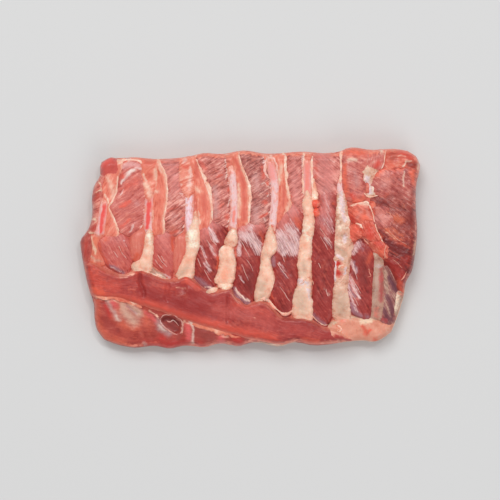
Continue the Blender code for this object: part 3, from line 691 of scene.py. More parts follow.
# The lines of fat along the outer borders of the strips, and the arch over the fifth bone
FAT_CORDS = {
    "fat_cord_1": [(-106.5, 12, 0.4), (-109.5, 20, 0.6), (-113, 28, 0.5), (-115.5, 33, 0.6),
                   (-112, 40, 0.7), (-109.5, 46, 0.7), (-108.5, 54, 0.7), (-108.6, 60, 0.5)],
    "fat_cord_1b": [(-108, 68, 0.9), (-103, 71.5, 0.7), (-96, 72, 0.6), (-90, 70.5, 0.6), (-88, 68, 0.5)],
    "fat_cord_2": [(-68.5, 11, 0.5), (-70.8, 20, 0.6), (-69.5, 30, 0.8), (-68, 40, 1.2), (-68, 50, 1.1),
                   (-69, 60, 0.9), (-71.5, 66, 0.6), (-74.5, 71, 0.5), (-76.5, 76, 0.6)],
    "fat_cord_3": [(-31, 21, 0.5), (-31.3, 30, 0.7), (-33, 42, 1.4), (-35.5, 50, 1.6),
                   (-38.5, 58, 0.9), (-41.5, 66, 0.8), (-45, 77, 0.9)],
    "fat_cord_4": [(-1.4, 19, 0.5), (-0.8, 32, 0.9), (-0.6, 44, 1.5), (-1.6, 54, 1.6),
                   (-4.5, 63, 0.9), (-7.8, 71, 0.9), (-10, 80, 1.0)],
    "fat_cord_5": [(33.5, 38, 0.5), (31.3, 44, 0.9), (29.8, 52, 1.1), (29.0, 62, 0.9),
                   (28.4, 70, 1.0), (27.8, 79, 1.1)],
    "fat_cord_6a": [(43.6, 44, 0.8), (43.3, 58, 0.8), (43.6, 70, 0.9), (44.5, 78, 0.8)],
    "fat_cord_6b": [(51.4, 46, 0.5), (50.8, 60, 0.8), (51.0, 70, 0.8), (52.2, 77, 0.8)],
    "fat_cord_7": [(73.6, 53, 0.5), (75, 62, 0.8), (74.4, 72, 0.6), (75.8, 80, 0.9)],
}
ARCH_CORD = {"arch_5": [(14.6, 57, 0.4), (12.2, 63, 0.7), (12.2, 69, 0.9), (15, 73, 0.7), (19.5, 72.5, 0.7),
                        (22.2, 68, 0.8), (22.4, 60, 0.5)]}


def fat(name, deep=(228, 168, 138), mid=(240, 194, 168), light=(250, 222, 200), layers=(),
        contrast=1.0, rim=(222, 138, 114)):
    """Raw pork fat: cream with pink where it is thin, uneven, with a soft shine."""
    material, start, place = new_material(name)
    broad, fine = cloud(start, place, 130, 3.0), cloud(start, place, 600, 3.0)
    speck = cloud(start, place, 1900, 1.0)
    edge = attribute(start, "edge")
    shade = ((broad - 0.5) * 1.7 + (fine - 0.5) * 0.7 + (speck - 0.5) * 0.25) * contrast + 0.52
    colour = shade.between(0.1, 0.5).blend(tone(*deep), tone(*mid))
    colour = shade.between(0.5, 1.0).blend(colour, tone(*light))
    thin = (edge + (fine - 0.5) * 1.6).between(1.5, 0.0) * 0.6
    colour = thin.blend(colour, tone(*rim))
    for layer, paint in layers:
        seen = (attribute(start, layer) + (fine - 0.5) * 0.9 + (broad - 0.5) * 0.7).between(0.15, 0.85)
        lit = shade.between(0.0, 1.0).blend(shaded(paint, 0.93), shaded(paint, 1.1))
        colour = seen.blend(colour, lit)
    bump = start.node("Bump", {}, {"Height": fine + speck * 0.3, "Strength": 0.45,
                                   "Distance": 0.5 * MM})
    finished(start, colour, 0.40 + fine * 0.15, broad.between(0.3, 0.7) * 0.22 + 0.08, bump, soak=0.2)
    return material


RAY_START = 0.06


def surface_height(x, y):
    """Height in mm of what lies highest at (x, y)."""
    graph = bpy.context.evaluated_depsgraph_get()
    found = bpy.context.scene.ray_cast(graph, (x * MM, y * MM, RAY_START), (0, 0, -1))
    return found[1].z / MM if found[0] else bed(np.array([x]), np.array([y]))[0]


def cord_path(points):
    """A smooth path through (x, y, half width), a point every half millimetre."""
    points = np.array(points, float)
    run = np.insert(np.cumsum(np.hypot(*np.diff(points[:, :2], axis=0).T)), 0, 0)
    steps = np.linspace(0, run[-1], max(int(run[-1] / 0.5), 6))
    return np.stack([smooth_line(np.stack([run, c], axis=1))(steps) for c in points.T])


def thread(name, points, material, stand, seed, across=8, waver=1.0):
    """A thin raised cord along the path, half sunk in what it lies on."""
    path = cord_path(points)
    path[:2] = keep_inside(path[0], path[1], 1.0)
    way = np.gradient(path[:2], axis=1)
    way /= np.hypot(*way)
    ground = np.array([surface_height(x, y) for x, y in path[:2].T])
    ground = np.convolve(np.pad(ground, 3, mode="edge"), np.ones(7) / 7, mode="valid")

    def place(u, v, down):
        i = np.clip(np.round((v + 1) / 2 * (path.shape[1] - 1)).astype(int), 0, path.shape[1] - 1)
        angle = u * math.pi / 2
        half = path[2][i] * (1 + 0.6 * waver * lumps(i * 0.5, 0 * u, 3.5, seed))
        end = np.sqrt(np.clip(1 - np.abs(v) ** 8, 0.05, 1))
        off = np.sin(angle) * half * end
        wave = 0.6 * waver * lumps(i * 0.5, 0 * u + 5, 4, seed + 3)
        x = path[0][i] - way[1][i] * (off + wave)
        y = path[1][i] + way[0][i] * (off + wave)
        z = ground[i] - 0.5 + (stand + 0.5) * np.cos(angle) * end * (1 + 0.3 * lumps(x, y, 2, seed))
        z = np.where(down > 0.5, ground[i] - 1.5, z)
        return (x, y, z), {"edge": (1 - np.abs(u)) * half * 3}

    piece = lay_down(name, unit_slab(across, path.shape[1] - 1, 1), place, material)
    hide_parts("meat")
    return piece


def lay_cords(paths, material, seed, wide=1.0, **more):
    """A cord along each named path, its half widths made `wide` times as large."""
    for count, (name, points) in enumerate(paths.items()):
        thread(name, [(x, y, half * wide) for x, y, half in points], material, seed=seed + count, **more)


cord_fat = fat("line of fat", deep=(232, 150, 126), mid=(246, 194, 172), light=(252, 226, 208),
               rim=(230, 136, 114))
arch_fat = fat("thin fat of the arch", (228, 140, 124), (240, 178, 164), (248, 210, 200), rim=(228, 130, 114))
lay_cords(FAT_CORDS, cord_fat, 20, wide=1.85, stand=0.32, across=10)
lay_cords(ARCH_CORD, arch_fat, 29, wide=1.85, stand=0.32, across=10)


# Rib bones
# Eight flat oval bones, sawn through at the upper edge. Above, each lies bare under a thin lilac
# skin, through which the red marrow shows; its lower end is hidden in the fat and muscle.

# The middle lines of the bones: x in mm at each of these places along y
RIB_LEVELS = (-82, -45, -20, 5, 25, 50, 80)
RIB_LINES = {
    1: (-111, -118, -126, -124.6, -120.8, -117.5, -112), 2: (-86, -88, -89.5, -82.5, -83.5, -81.5, -85),
    3: (-56, -56, -53.5, -47.5, -50, -50, -52), 4: (-28, -23, -19.5, -15, -13, -13.5, -17),
    5: (4, 8, 12.5, 16, 19, 20.4, 14), 6: (40, 43, 44, 46, 47.5, 47, 47),
    7: (74, 74.5, 76, 76.5, 75.5, 74, 75), 8: (99, 104, 105, 104.5, 105, 106, 106)}
LOWER_END = {1: 2, 2: -8, 3: -14, 4: -22, 5: -32, 6: -42, 7: -44, 8: -44}
BARE = {1: (11, 38), 2: (13, 44), 3: (13, 50), 4: (17, 64), 5: (18, 72), 6: (43, 72), 7: (46, 56)}
BONE_SIDES = 32
BONE_HALF_WIDE, BONE_HALF_THICK = 4.8, 4.0
BONE_LEVEL, BARE_RAISE = 15.6, 3.2
MARROW = {1: [[(-119.3, 37, 1.5), (-120.4, 26, 1.8), (-122.2, 13, 1.6)]],
          2: [[(-82.6, 42, 1.5), (-83.2, 30, 2.1), (-84.0, 17, 2.0)]],
          4: [[(-13, 30, 1.3), (-13, 22, 1.1)]],
          6: [[(47, 73, 1.8), (46.8, 60, 1.8), (46.6, 47, 1.6)]]}
BLUSH = {1: [[(-125, 28, 1.5), (-126, 14, 1.4)], [(-118, 34, 1.2), (-119, 15, 0.8)]],
         2: [[(-81, 42, 1.8), (-81, 30, 1.2)]], 3: [(0.8, [(-49.5, 18, 1.5)])],
         4: [(0.8, [(-13, 34, 1.2), (-13, 20, 1.2)]), (0.7, [(-15, 62, 1.5)])],
         5: [(0.8, [(20.5, 38, 1.5)]), [(16.5, 71, 4), (17.5, 66, 4), (18.5, 58, 3.4)]],
         6: [[(47, 78, 4), (47, 60, 3.5), (47, 45, 3)]], 7: [], 8: []}


def bone_skin(name, marrow, mid=(238, 196, 194)):
    """Thin skin over bone: lilac-white, patchy, pinker in places, red where marrow shows."""
    material, start, place = new_material(name)
    fibre = attribute(start, "fibre", "Vector")
    drawn = cloud(start, start.node("Mapping", {}, {"Vector": fibre, "Scale": (0.25, 1, 1)}), 500)
    broad, speck = cloud(start, place, 160, 3.0), cloud(start, place, 1300, 2.0)
    shade = (drawn - 0.5) * 1.2 + (broad - 0.5) * 1.2 + (speck - 0.5) * 0.5 + 0.5
    colour = shade.between(0.1, 0.55).blend(tone(224, 164, 158), tone(*mid))
    colour = shade.between(0.45, 0.9).blend(colour, tone(245, 218, 224))
    patches = ((broad - 0.5) * 1.6 + (drawn - 0.5) * 1.2).between(0.06, 0.36)
    colour = patches.blend(colour, tone(240, 172, 158))
    rough = (speck - 0.5) * 0.5 + (drawn - 0.5) * 0.6 + (broad - 0.5) * 0.6
    colour = (attribute(start, "blush") + rough).between(0.15, 0.9).blend(colour, tone(241, 156, 150))
    colour = (attribute(start, "marrow") + rough * 0.7).between(0.25, 0.85).blend(colour, tone(*marrow))
    colour = (attribute(start, "flank") + rough * 1.9).between(0.34, 0.86).blend(colour, tone(234, 154, 136))
    veiled = (attribute(start, "bared") + rough * 2.2).between(0.85, 0.2)
    colour = veiled.blend(colour, shade.between(0.2, 0.8).blend(tone(222, 120, 100), tone(246, 190, 172)))
    colour = (attribute(start, "sawn") + rough * 0.3).between(0.3, 0.6).blend(
        colour, speck.between(0.3, 0.7).blend(tone(176, 62, 52), tone(226, 150, 128)))
    height = drawn * 0.5 + speck * 0.4
    bump = start.node("Bump", {}, {"Height": height, "Strength": 0.4, "Distance": 0.4 * MM})
    finished(start, colour, 0.34 + broad * 0.14, broad.between(0.3, 0.7) * 0.3 + 0.15, bump, soak=0.15)
    return material


skins = {k: bone_skin(f"bone skin {k}", (234, 84, 78) if k < 4 else (240, 138, 126),
                      (244, 212, 220) if k == 3 else (238, 196, 194)) for k in RIB_LINES}
for k, levels in RIB_LINES.items():
    middle = smooth_line(list(zip(RIB_LEVELS, levels)))
    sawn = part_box(f"rib_{k}")[1].y / MM
    steps = int((sawn - LOWER_END[k]) / 0.8)
    shape = bmesh.new()
    bmesh.ops.create_cone(shape, segments=BONE_SIDES, radius1=1, radius2=1, depth=2, cap_ends=True)
    around = [e for e in shape.edges if abs(e.verts[0].co.z - e.verts[1].co.z) > 1]
    bmesh.ops.subdivide_edges(shape, edges=around, cuts=steps)
    caps = [f for f in shape.faces if len(f.verts) == BONE_SIDES]
    for share in (0.25, 0.35, 0.5):
        bmesh.ops.inset_region(shape, faces=caps, thickness=share)

    def place_bone(x, y, down, k=k, middle=middle, sawn=sawn, steps=steps):
        """A round bar of radius 1 along z becomes an oval bar along the rib."""
        along = (1 - down) / 2
        at = LOWER_END[k] + (sawn - LOWER_END[k]) * along
        cx = middle(at)
        slope = middle(at + 0.5) - middle(at - 0.5)
        tip = np.sqrt(np.clip(1 - rise(0.10, 0.0, along) ** 2, 0.35, 1))
        knobs = 1 + 0.06 * lumps(at + 0 * x, np.arctan2(y, x) * 3, 6, k + 0.5)
        width = BONE_HALF_WIDE * tip * knobs * (1 - 0.10 * rise(60, 78, at))
        depth = BONE_HALF_THICK * tip * knobs
        low, high = BARE.get(k, (200, 200))
        bare = rise(low - 8, low + 2, at) * rise(high + 8, high - 2, at)
        raised = BARE_RAISE * bare
        z = BONE_LEVEL - 1.0 * rise(10, -40, at) + raised - 1.5 * rise(70, 80, at) + y * depth
        px, py = cx + x * width, at - slope * x * width
        bulge = np.clip((z - WAIST) / 10.5, 0, 1)
        px, py = keep_inside(px, py, EDGE_ROUND * (1 - np.sqrt(1 - bulge**2)) + 0.1)
        core = rise(0.80, 0.66, np.hypot(x, y)) * (along > 0.995)
        py = py - 0.35 * core
        values = {"fibre": np.stack([at, x * 6, 0 * x], axis=1) * MM,
                  "ridge": 0 * x, "sawn": core, "flank": np.abs(x),
                  "bared": rise(low - 3, low + 3, at) * rise(high + 4, high - 8, at),
                  "marrow": strokes(px, py, MARROW.get(k, [])) * (y > 0),
                  "blush": strokes(px, py, BLUSH.get(k, [])) * (y > 0)}
        return (px, py, z), values

    piece = lay_down(f"bone_{k}", shape, place_bone, skins[k])
    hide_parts(f"rib_{k}")


# Muscles of the lower half
# Deep red muscles bulge between the strips of fat. Their tops lie under a torn lilac-white skin,
# and their lower ends run on under the free edge of the skirt.
belly_tones = dict(dark=(122, 34, 32), mid=(156, 52, 48), light=(192, 88, 78))
lower_layers = [("pink", (212, 120, 112)), ("orange", (206, 86, 62)), ("purple", (158, 110, 118)),
                ("haze", (222, 186, 184), "streaky"), ("pale", (236, 200, 186), "streaky"),
                ("shade", (116, 34, 32))]
lower_flesh = flesh("deep rib muscle", **belly_tones, layers=lower_layers, contrast=0.85)
pink_flesh = flesh("pink rib muscle", (170, 66, 60), (200, 96, 88), (224, 136, 124),
                   layers=lower_layers, contrast=0.8)
orange_flesh = flesh("orange rib muscle", (196, 84, 68), (216, 114, 98), (236, 150, 130),
                     layers=lower_layers, contrast=0.6)


def muscle(name, rows, material=lower_flesh, **more):
    """A muscle between two ribs, which runs on under the skirt at its lower end."""
    more = {"lift": 2.6, "radius": 6, "spread": 1.7, "tuck": 4.5, "rounding": (4, 8), "ridge": 0.2,
            "pitch": 2.2, "ragged": 0.9, "dip": 1.3, **more}
    return swell(name, rows, material, **more)


muscle("lower_muscle_1",
       [(-22, -104, -100), (-18, -112, -98.5), (-14, -117.5, -98), (-8, -121, -97.5),
        (-2, -124, -98), (4, -125, -98.5), (9, -123, -99), (13, -118, -101)],
       pink_flesh, lift=3.0, radius=7, slant=-58, ridge=0.16, seed=31.0,
       marks={"orange": [(0.8, [(-124, 4, 1.6), (-122, -6, 1.6), (-116, -13, 1.0)]), [(-118, 7, 3)]],
              "purple": [[(-115, -14, 1.2), (-109, -17.5, 2.0), (-104, -20.5, 1.6)]],
              "haze": [(0.8, [(-114, -15.5, 0.6), (-106, -20, 0.9)]), (0.5, [(-104, 6, 1.2), (-101, 2, 1)])],
              "pink": [(0.7, [(-108, 4, 5)])],
              "shade": [(0.5, [(-122, -12, 2), (-113, -17, 2.4), (-104, -20, 2)])]})
muscle("lower_muscle_2a",
       [(-13.5, -94, -90.5), (-9, -97, -89), (-3, -98.5, -87.5), (4, -98.7, -86.5),
        (9, -98, -85.5), (13, -95, -85), (17, -91, -85.5)],
       orange_flesh, lift=3.2, radius=5, seed=32.0, ridge=0.10, spread=0.8, tuck=0.0, rounding=(5, 5),
       marks={"orange": [[(-94, -9, 2), (-92, -6, 2)]]})
muscle("lower_muscle_2",
       [(-25, -68, -64.5), (-20, -71, -64), (-14, -78, -63.5), (-8, -79.5, -63), (0, -79, -62.5),
        (6, -78.5, -62.5), (11, -77.5, -63), (16, -76, -67)],
       pink_flesh, slant=-55, ridge=0.18, seed=33.0,
       marks={"pink": [(0.8, [(-72, 9, 5), (-70, 2, 5)])], "orange": [[(-63.5, 8, 1.2), (-63.5, -2, 1)]],
              "haze": [(0.7, [(-66, -24, 1.0), (-72, -21, 0.8)])]})
muscle("lower_muscle_3a",
       [(-20, -62, -57.5), (-14, -63, -55.5), (-6, -62.8, -53), (2, -62, -51.5), (8, -61, -51.5),
        (13, -58, -53)],
       orange_flesh, lift=3.0, radius=5, seed=34.0, ridge=0.10, spread=1.0, tuck=2.0, rounding=(5, 5))
muscle("lower_muscle_3",
       [(-34, -35, -31), (-31, -40, -29.5), (-26, -44, -28), (-20, -45.5, -26.5),
        (-12, -44.5, -25.5), (-4, -42, -24.5), (2, -41, -21.5), (8, -42, -20.2), (14, -42, -19.5),
        (20, -40, -21), (25, -38, -26)],
       slant=-55, ridge=0.24, seed=35.0,
       marks={"pink": [[(-38, 10, 7), (-33, 18, 7)], (0.8, [(-30, 2, 3), (-28, -6, 2.5)]),
                       (0.6, [(-38, -4, 3), (-36, -14, 3)])],
              "haze": [(0.9, [(-33, 16, 1.6), (-27, 6, 1.8)]), (0.7, [(-33, 2, 1.4), (-29, -5, 1.4)]),
                       (0.6, [(-40, 2, 1.0), (-36, -8, 1.2)]), (0.8, [(-36, -13, 1.8), (-33, -18, 1.8)])],
              "orange": [[(-26, -8, 1.4), (-27, -16, 1.2)]],
              "purple": [[(-44, -25, 1.8), (-38, -30, 2.6), (-33, -33, 2)]],
              "pale": [(0.8, [(-36, -32, 0.7), (-31, -33.5, 1.2)])]})
muscle("lower_muscle_4",
       [(-46, -5, 0), (-43, -9, 2.5), (-38, -13, 3), (-32, -13.5, 4), (-26, -12.5, 5),
        (-18, -11, 7.5), (-10, -10, 8.5), (-3, -9.5, 9), (3, -8.8, 9.8), (9, -9, 11),
        (14, -9.5, 13), (20, -8, 14.5), (25, -3, 13.5)],
       slant=-57, ridge=0.24, seed=36.0,
       marks={"haze": [[(-6, 10, 4), (0, 9, 5), (5, 3, 4), (7, -3, 2.4)], [(-9, 5, 2), (-10, -4, 2)],
                       (0.8, [(0, 16, 3.5)]), (0.7, [(-9, -22, 0.7), (-5, -28, 0.9)])],
              "orange": [(0.7, [(9, 13, 1.6), (10, 6, 1.6), (11, 0, 1)]), (0.6, [(-9, -16, 2)])],
              "pink": [[(-6, 17, 7), (8, 19, 6)], (0.7, [(-2, -5, 4)])],
              "purple": [[(-13, -33, 1.4), (-10, -39, 2.6), (-5, -43, 2.4), (-1, -45, 1.6)]],
              "pale": [(0.9, [(-12, -33, 0.6), (-9, -37, 1.0), (-5, -41.5, 1.3), (-1, -43.5, 0.9)])],
              "shade": [(0.75, [(0, -22, 6), (0, -34, 5)])]})
muscle("lower_muscle_5",
       [(-54, 26, 32), (-50, 22, 34.5), (-44, 18.5, 35.5), (-38, 15.5, 36), (-32, 18, 37),
        (-26, 20, 38), (-18, 20, 38.7), (-10, 18, 39), (-3, 21, 40), (4, 22, 40.5), (10, 22, 41),
        (16, 22.5, 42), (22, 24, 43), (28, 27, 43.5), (34, 30, 41), (39, 32, 37)],
       slant=-57, dip=1.8, ridge=0.26, seed=37.0,
       marks={"haze": [[(24, 11, 4), (30, 5, 5), (36, -2, 4)], [(24, 4, 4), (28, -4, 3)],
                       [(32, 15, 4), (38, 7, 4), (38, -4, 2.4)], (0.5, [(24, -12, 1.2), (30, -20, 1.2)]),
                       (0.6, [(33, 24, 1.2), (39, 14, 1.4)])],
              "pink": [[(26, 26, 7), (28, 17, 6)], [(34, 32, 8), (36, 26, 6)], (0.8, [(32, 12, 6)])],
              "orange": [(0.8, [(38, 23, 3.4), (41, 17, 2.5)]), (0.8, [(17, -37, 1.6), (19, -41, 1.2)])],
              "purple": [[(18, -6, 2), (19, -14, 2)], (0.7, [(25, -17, 1.2), (30, -25, 1.0)]),
                         (0.6, [(34, 2, 4)])],
              "shade": [(0.7, [(28, -50, 4)])]})
muscle("lower_muscle_6",
       [(-63, 58, 63), (-59, 53.5, 65.5), (-54, 50.8, 67), (-48, 51, 67.5), (-40, 52, 68),
        (-32, 52.5, 68.5), (-24, 51.5, 68.5), (-15, 50.5, 69), (-5, 51, 69), (4, 51, 69.5),
        (12, 51.5, 69.5), (20, 53, 69.5), (28, 55, 70), (36, 57.5, 70), (44, 57, 71), (52, 56, 71)],
       lift=2.4, slant=-60, ridge=0.26, seed=38.0, rounding=(4, 12),
       marks={"haze": [(0.35, [(60, 44, 3), (64, 34, 4), (62, 22, 4), (64, 12, 3)]),
                       (0.5, [(62, 8, 2), (67, 1, 2)]), (0.4, [(66, 26, 2), (68, 14, 2)])],
              "pink": [(0.85, [(62, 42, 7), (61, 22, 7), (62, 13, 5)])], "orange": [[(68, 36, 1.2)]],
              "purple": [(0.6, [(60, 24, 4), (66, 16, 3)]),
                         [(52, -55, 1.8), (57, -60.5, 2.0), (61, -62, 1.6)]],
              "shade": [(0.8, [(51.5, -49, 1.4)]), (0.6, [(66, -10, 3)])],
              "pale": [(0.5, [(61, -33, 0.9), (65, -38, 1.0)])]})
muscle("lower_muscle_7",
       [(-58, 92, 98), (-54, 84, 99), (-48, 80, 100), (-40, 79.5, 100), (-32, 79, 100.5),
        (-24, 79.5, 101), (-16, 82, 101.5), (-8, 83, 101.5), (0, 84, 100), (4, 87, 97), (9, 89, 93)],
       lift=2.4, slant=-60, ridge=0.24, seed=39.0, rounding=(4, 5),
       marks={"haze": [(0.8, [(88, 4, 3.4), (85, -3, 2.4)]), (0.8, [(82, -10, 1.4), (86, -20, 1.4)]),
                       (0.8, [(81, -22, 1.2), (86, -34, 1.4), (90, -41, 1.0)]),
                       (0.7, [(80, -30, 1.2), (84, -44, 1.2), (88, -52, 1.0)])],
              "pink": [(0.7, [(83, -26, 3), (86, -42, 4)])],
              "purple": [[(85, -12, 1.2), (87, -20, 1.2)], [(80, -30, 1.2), (86, -40, 1.4)],
                         [(82, -46, 2.0), (86, -52, 2.6), (90, -56, 2.4)], (0.8, [(96, -56, 2.4)]),
                         (0.7, [(89, 4, 2), (92, -1, 1.6)])],
              "orange": [(0.8, [(96, -12, 2), (99, -5, 2)])],
              "shade": [(0.7, [(93, -8, 4), (94, -28, 4)])]})
swell("lower_muscle_8",
      [(-66, 107, 115), (-58, 106.5, 120), (-50, 108, 120.5), (-42, 109, 120.5), (-34, 109, 121.5),
       (-26, 109.5, 119), (-18, 109, 115), (-12, 108, 112)],
      flesh("end of rib muscle", (114, 54, 55), (156, 97, 92), (198, 152, 138),
            layers=[("purple", (104, 56, 68), "streaky"), ("dusk", (112, 58, 66)),
                    ("pale", (192, 158, 136), "streaky"), ("red", (170, 66, 70))], contrast=1.1),
      lift=2.0, radius=4, slant=-62, ridge=0.3, seed=40.0, spread=1.2, rounding=(2, 6),
      marks={"purple": [[(114, -24, 1.6), (120, -35, 2.0)],
                        (0.8, [(112, -38, 1.4), (115.5, -47, 2), (116, -57, 2.4)]),
                        (0.8, [(109.5, -50, 1.2), (113, -58, 2)])],
             "dusk": [(0.9, [(117, -27, 0.9), (120, -34.5, 1.3)]),
                      (0.9, [(114, -42, 1.4), (116, -49, 1.7), (117, -53, 1.0)]),
                      (0.8, [(111, -52, 1.0), (113, -58, 1.6), (119, -60, 1.6)])],
             "pale": [(0.8, [(110.5, -20, 1.8), (112, -30, 1.8), (113, -36, 1.2)]),
                      (0.5, [(116, -34, 0.9), (120, -42, 1.3), (119, -50, 1.2)]),
                      (0.6, [(110, -40, 1.0), (112.5, -49, 0.8), (115.5, -56, 0.6)])],
             "red": [(0.9, [(108, -57, 1.6), (111, -60, 1.8)]), (0.6, [(110, -38, 1.4)])]})


# Strips of fat
# Over the lower ribs the bones are hidden by thick lumpy strips of cream fat, which widen towards
# the skirt and end in rounded lumps.
strip_fat = fat("rib fat", (230, 158, 132), (245, 195, 170), (255, 226, 206),
                layers=[("pink", (240, 158, 130)), ("grey", (210, 173, 150)), ("white", (253, 226, 206)),
                        ("red", (206, 70, 58)), ("lilac", (222, 198, 196))])
mixed_fat = fat("fat over the seventh rib", (196, 134, 110), (224, 174, 150), (242, 208, 186), contrast=1.3,
                layers=[("pink", (234, 152, 124)), ("grey", (194, 156, 134)), ("white", (238, 206, 186)),
                        ("red", (196, 58, 48)), ("lilac", (222, 194, 194))])
grey_fat = fat("greyish fat", (158, 105, 90), (188, 143, 124), (213, 180, 160),
               layers=[("pink", (200, 118, 102)), ("grey", (182, 146, 130)), ("white", (228, 200, 178)),
                       ("red", (173, 82, 77)), ("lilac", (190, 164, 160))])


def fat_strip(name, rows, material=strip_fat, lift=4.0, **more):
    """A thick lumpy strip of fat."""
    more = {"radius": 5, "ridge": 0.0, "uneven": 0.9, "dome": 0.3, "pitch": 4.0, "grain": 0.28,
            "ragged": 1.3, "spread": 0.9, "rounding": (4, 5), **more}
    return swell(name, rows, material, lift=lift, **more)


fat_strip("fat_strip_2",
          [(-19.5, -95, -81), (-15, -97.5, -80), (-12, -95.5, -80.3), (-9, -91, -80),
           (-4, -88.5, -79.5), (2, -87, -79), (8, -86, -79.3), (13, -84.5, -80), (17, -83, -81)],
          seed=41.0, tuck=3.0,
          marks={"pink": [(0.6, [(-85, -8, 3)])], "white": [(0.7, [(-82, 10, 2), (-82, 4, 1.6)])],
                 "grey": [(0.8, [(-95, -15, 2.5), (-92, -18, 2)]), (0.6, [(-86, -17, 3)])]})
fat_strip("fat_fold_2",
          [(-85, -22, -14), (-79, -25, -16.5), (-73, -27.5, -20.5), (-67, -29, -23.5), (-63, -29, -25)],
          grey_fat, along="x", lift=1.4, radius=3, seed=41.5, uneven=0.4, grain=0.15,
          marks={"white": [(0.9, [(-82, -17, 1.5)]), (0.8, [(-76, -22, 1.0), (-68, -25.5, 0.8)])]})
fat_strip("fat_strip_3",
          [(-25, -60, -46), (-20, -60, -45.5), (-12, -57, -45.5), (-5, -54, -43.5),
           (2, -52.5, -41.5), (10, -53, -41.3), (16, -51, -41.5), (22, -48, -42), (31, -45.5, -43)],
          seed=42.0, tuck=2.0,
          marks={"white": [(0.7, [(-48, 13, 4), (-47, 4, 4)])],
                 "pink": [(0.7, [(-50, -10, 4), (-54, -18, 4)])],
                 "grey": [(0.8, [(-47, -20, 1.5)]), (0.75, [(-52, -16, 4), (-58, -22, 3)])]})
fat_strip("fat_strip_4a",
          [(0, -20, -12), (4, -20.8, -10.8), (8, -19.7, -10.4), (12, -17.5, -11), (17, -14.5, -12)],
          lift=4.4, seed=43.0, marks={"white": [(0.6, [(-13.5, 13, 2)])], "pink": [(0.5, [(-14, 4, 1.5)])]})
fat_strip("fat_strip_4",
          [(-31.5, -26, -15), (-28, -29, -14), (-20, -27, -12), (-10, -25.3, -12), (-4, -25.5, -13.5),
           (0.5, -24.8, -14.5), (3, -22.5, -17)],
          lift=4.6, seed=44.0,
          marks={"pink": [(0.5, [(-20, -2, 2), (-18, -12, 3)]), (0.8, [(-20, -19, 4), (-21, -25, 3)])],
                 "white": [(0.6, [(-23, 1, 1.5)])]})
fat_strip("fat_strip_4_end",
          [(-27, -32.8, -29.5), (-22, -33.8, -28.8), (-17, -33.5, -28.8), (-13.5, -32, -29)],
          along="x", lift=4.0, radius=2.4, seed=45.0, uneven=0.5, marks={"white": [(0.6, [(-20, -31, 3)])]})
fat_strip("fat_strip_4_tip",
          [(-37, -37.5, -35.5), (-33, -37.2, -33.5), (-29, -36, -32), (-25.5, -34.5, -31.5)],
          along="x", lift=3.4, radius=2.2, seed=45.5, uneven=0.5, marks={"grey": [(0.7, [(-35, -36, 2)])]})
fat_strip("fat_strip_5",
          [(-44.5, 4, 10), (-40, 3.5, 16), (-34, 4.3, 18.5), (-28, 5.5, 20), (-22, 7.6, 20),
           (-15, 8.5, 17.5), (-8, 9, 17), (-3, 9.5, 21), (2, 11, 22.5), (7, 12.5, 21.5),
           (12, 14, 20), (16, 15, 18.5), (20, 16.5, 17.5)],
          seed=46.0, tuck=1.5,
          marks={"white": [(0.6, [(20, 6, 2)])],
                 "grey": [(0.8, [(8, -42, 4), (10, -30, 5)]), (0.7, [(13, -5, 3.2)])],
                 "pink": [(0.5, [(13, -24, 3)])]})
fat_strip("fat_strip_6",
          [(-59.5, 37.5, 51), (-56.5, 35.2, 51.5), (-52, 34.5, 51.5), (-44, 34.5, 51), (-36, 36.5, 50.5),
           (-30, 39, 50), (-24, 40, 50.5), (-15, 39, 50), (-5, 39.5, 50.5), (3, 40.5, 51), (10, 42, 51.5),
           (20, 43.5, 52.5), (28, 44, 52.5), (35, 43.5, 51.5), (42, 44, 50), (49, 45, 49)],
          seed=47.0, tuck=2.0, lift=3.8, rounding=(4, 10), ragged=1.7, grain=0.36,
          marks={"pink": [(0.7, [(44.5, 2, 3)]), (0.5, [(48, 28, 3)]), (0.9, [(49, -9, 1.8)]),
                          (0.7, [(46, -55, 3), (40, -54, 3)]), (0.5, [(46, 36, 3)])],
                 "white": [(0.55, [(50, 18, 2), (44, 13, 3), (47, 8, 3)])],
                 "lilac": [(0.9, [(41, -27, 2.4), (47, -29, 2.2)]),
                           (0.7, [(48.5, -35, 2.2), (49, -41, 1.6)])],
                 "grey": [(0.8, [(44, -14, 4), (44, -20, 3)]), (0.8, [(40, -38, 6), (43, -52, 6)])]})
fat_strip("fat_bit_6", [(36, 50, 54), (42, 50, 56), (48, 50.5, 55), (54, 50.5, 54), (58, 51, 53.5)],
          lift=1.2, radius=3, seed=48.0, ragged=2.0, grain=0.4,
          marks={"white": [(0.6, [(52.5, 43, 2)])], "pink": [(0.9, [(53, 52, 3)]), (0.7, [(51, 40, 2)])]})
for name, rows in (("red_bit_6a", [(32.5, 52.5, 54.5), (36, 51.2, 56.6), (40, 52, 55.5)]),
                   ("red_bit_6b", [(25, 53.5, 55), (29, 52.8, 57), (33, 53, 56)])):
    swell(name, rows, strip, lift=3.6, radius=3, seed=48.5, slant=30, ragged=1.6, grain=0.2, rounding=(3, 3),
          marks={"vivid": [[(54, 28, 4), (54, 37, 4)]]})
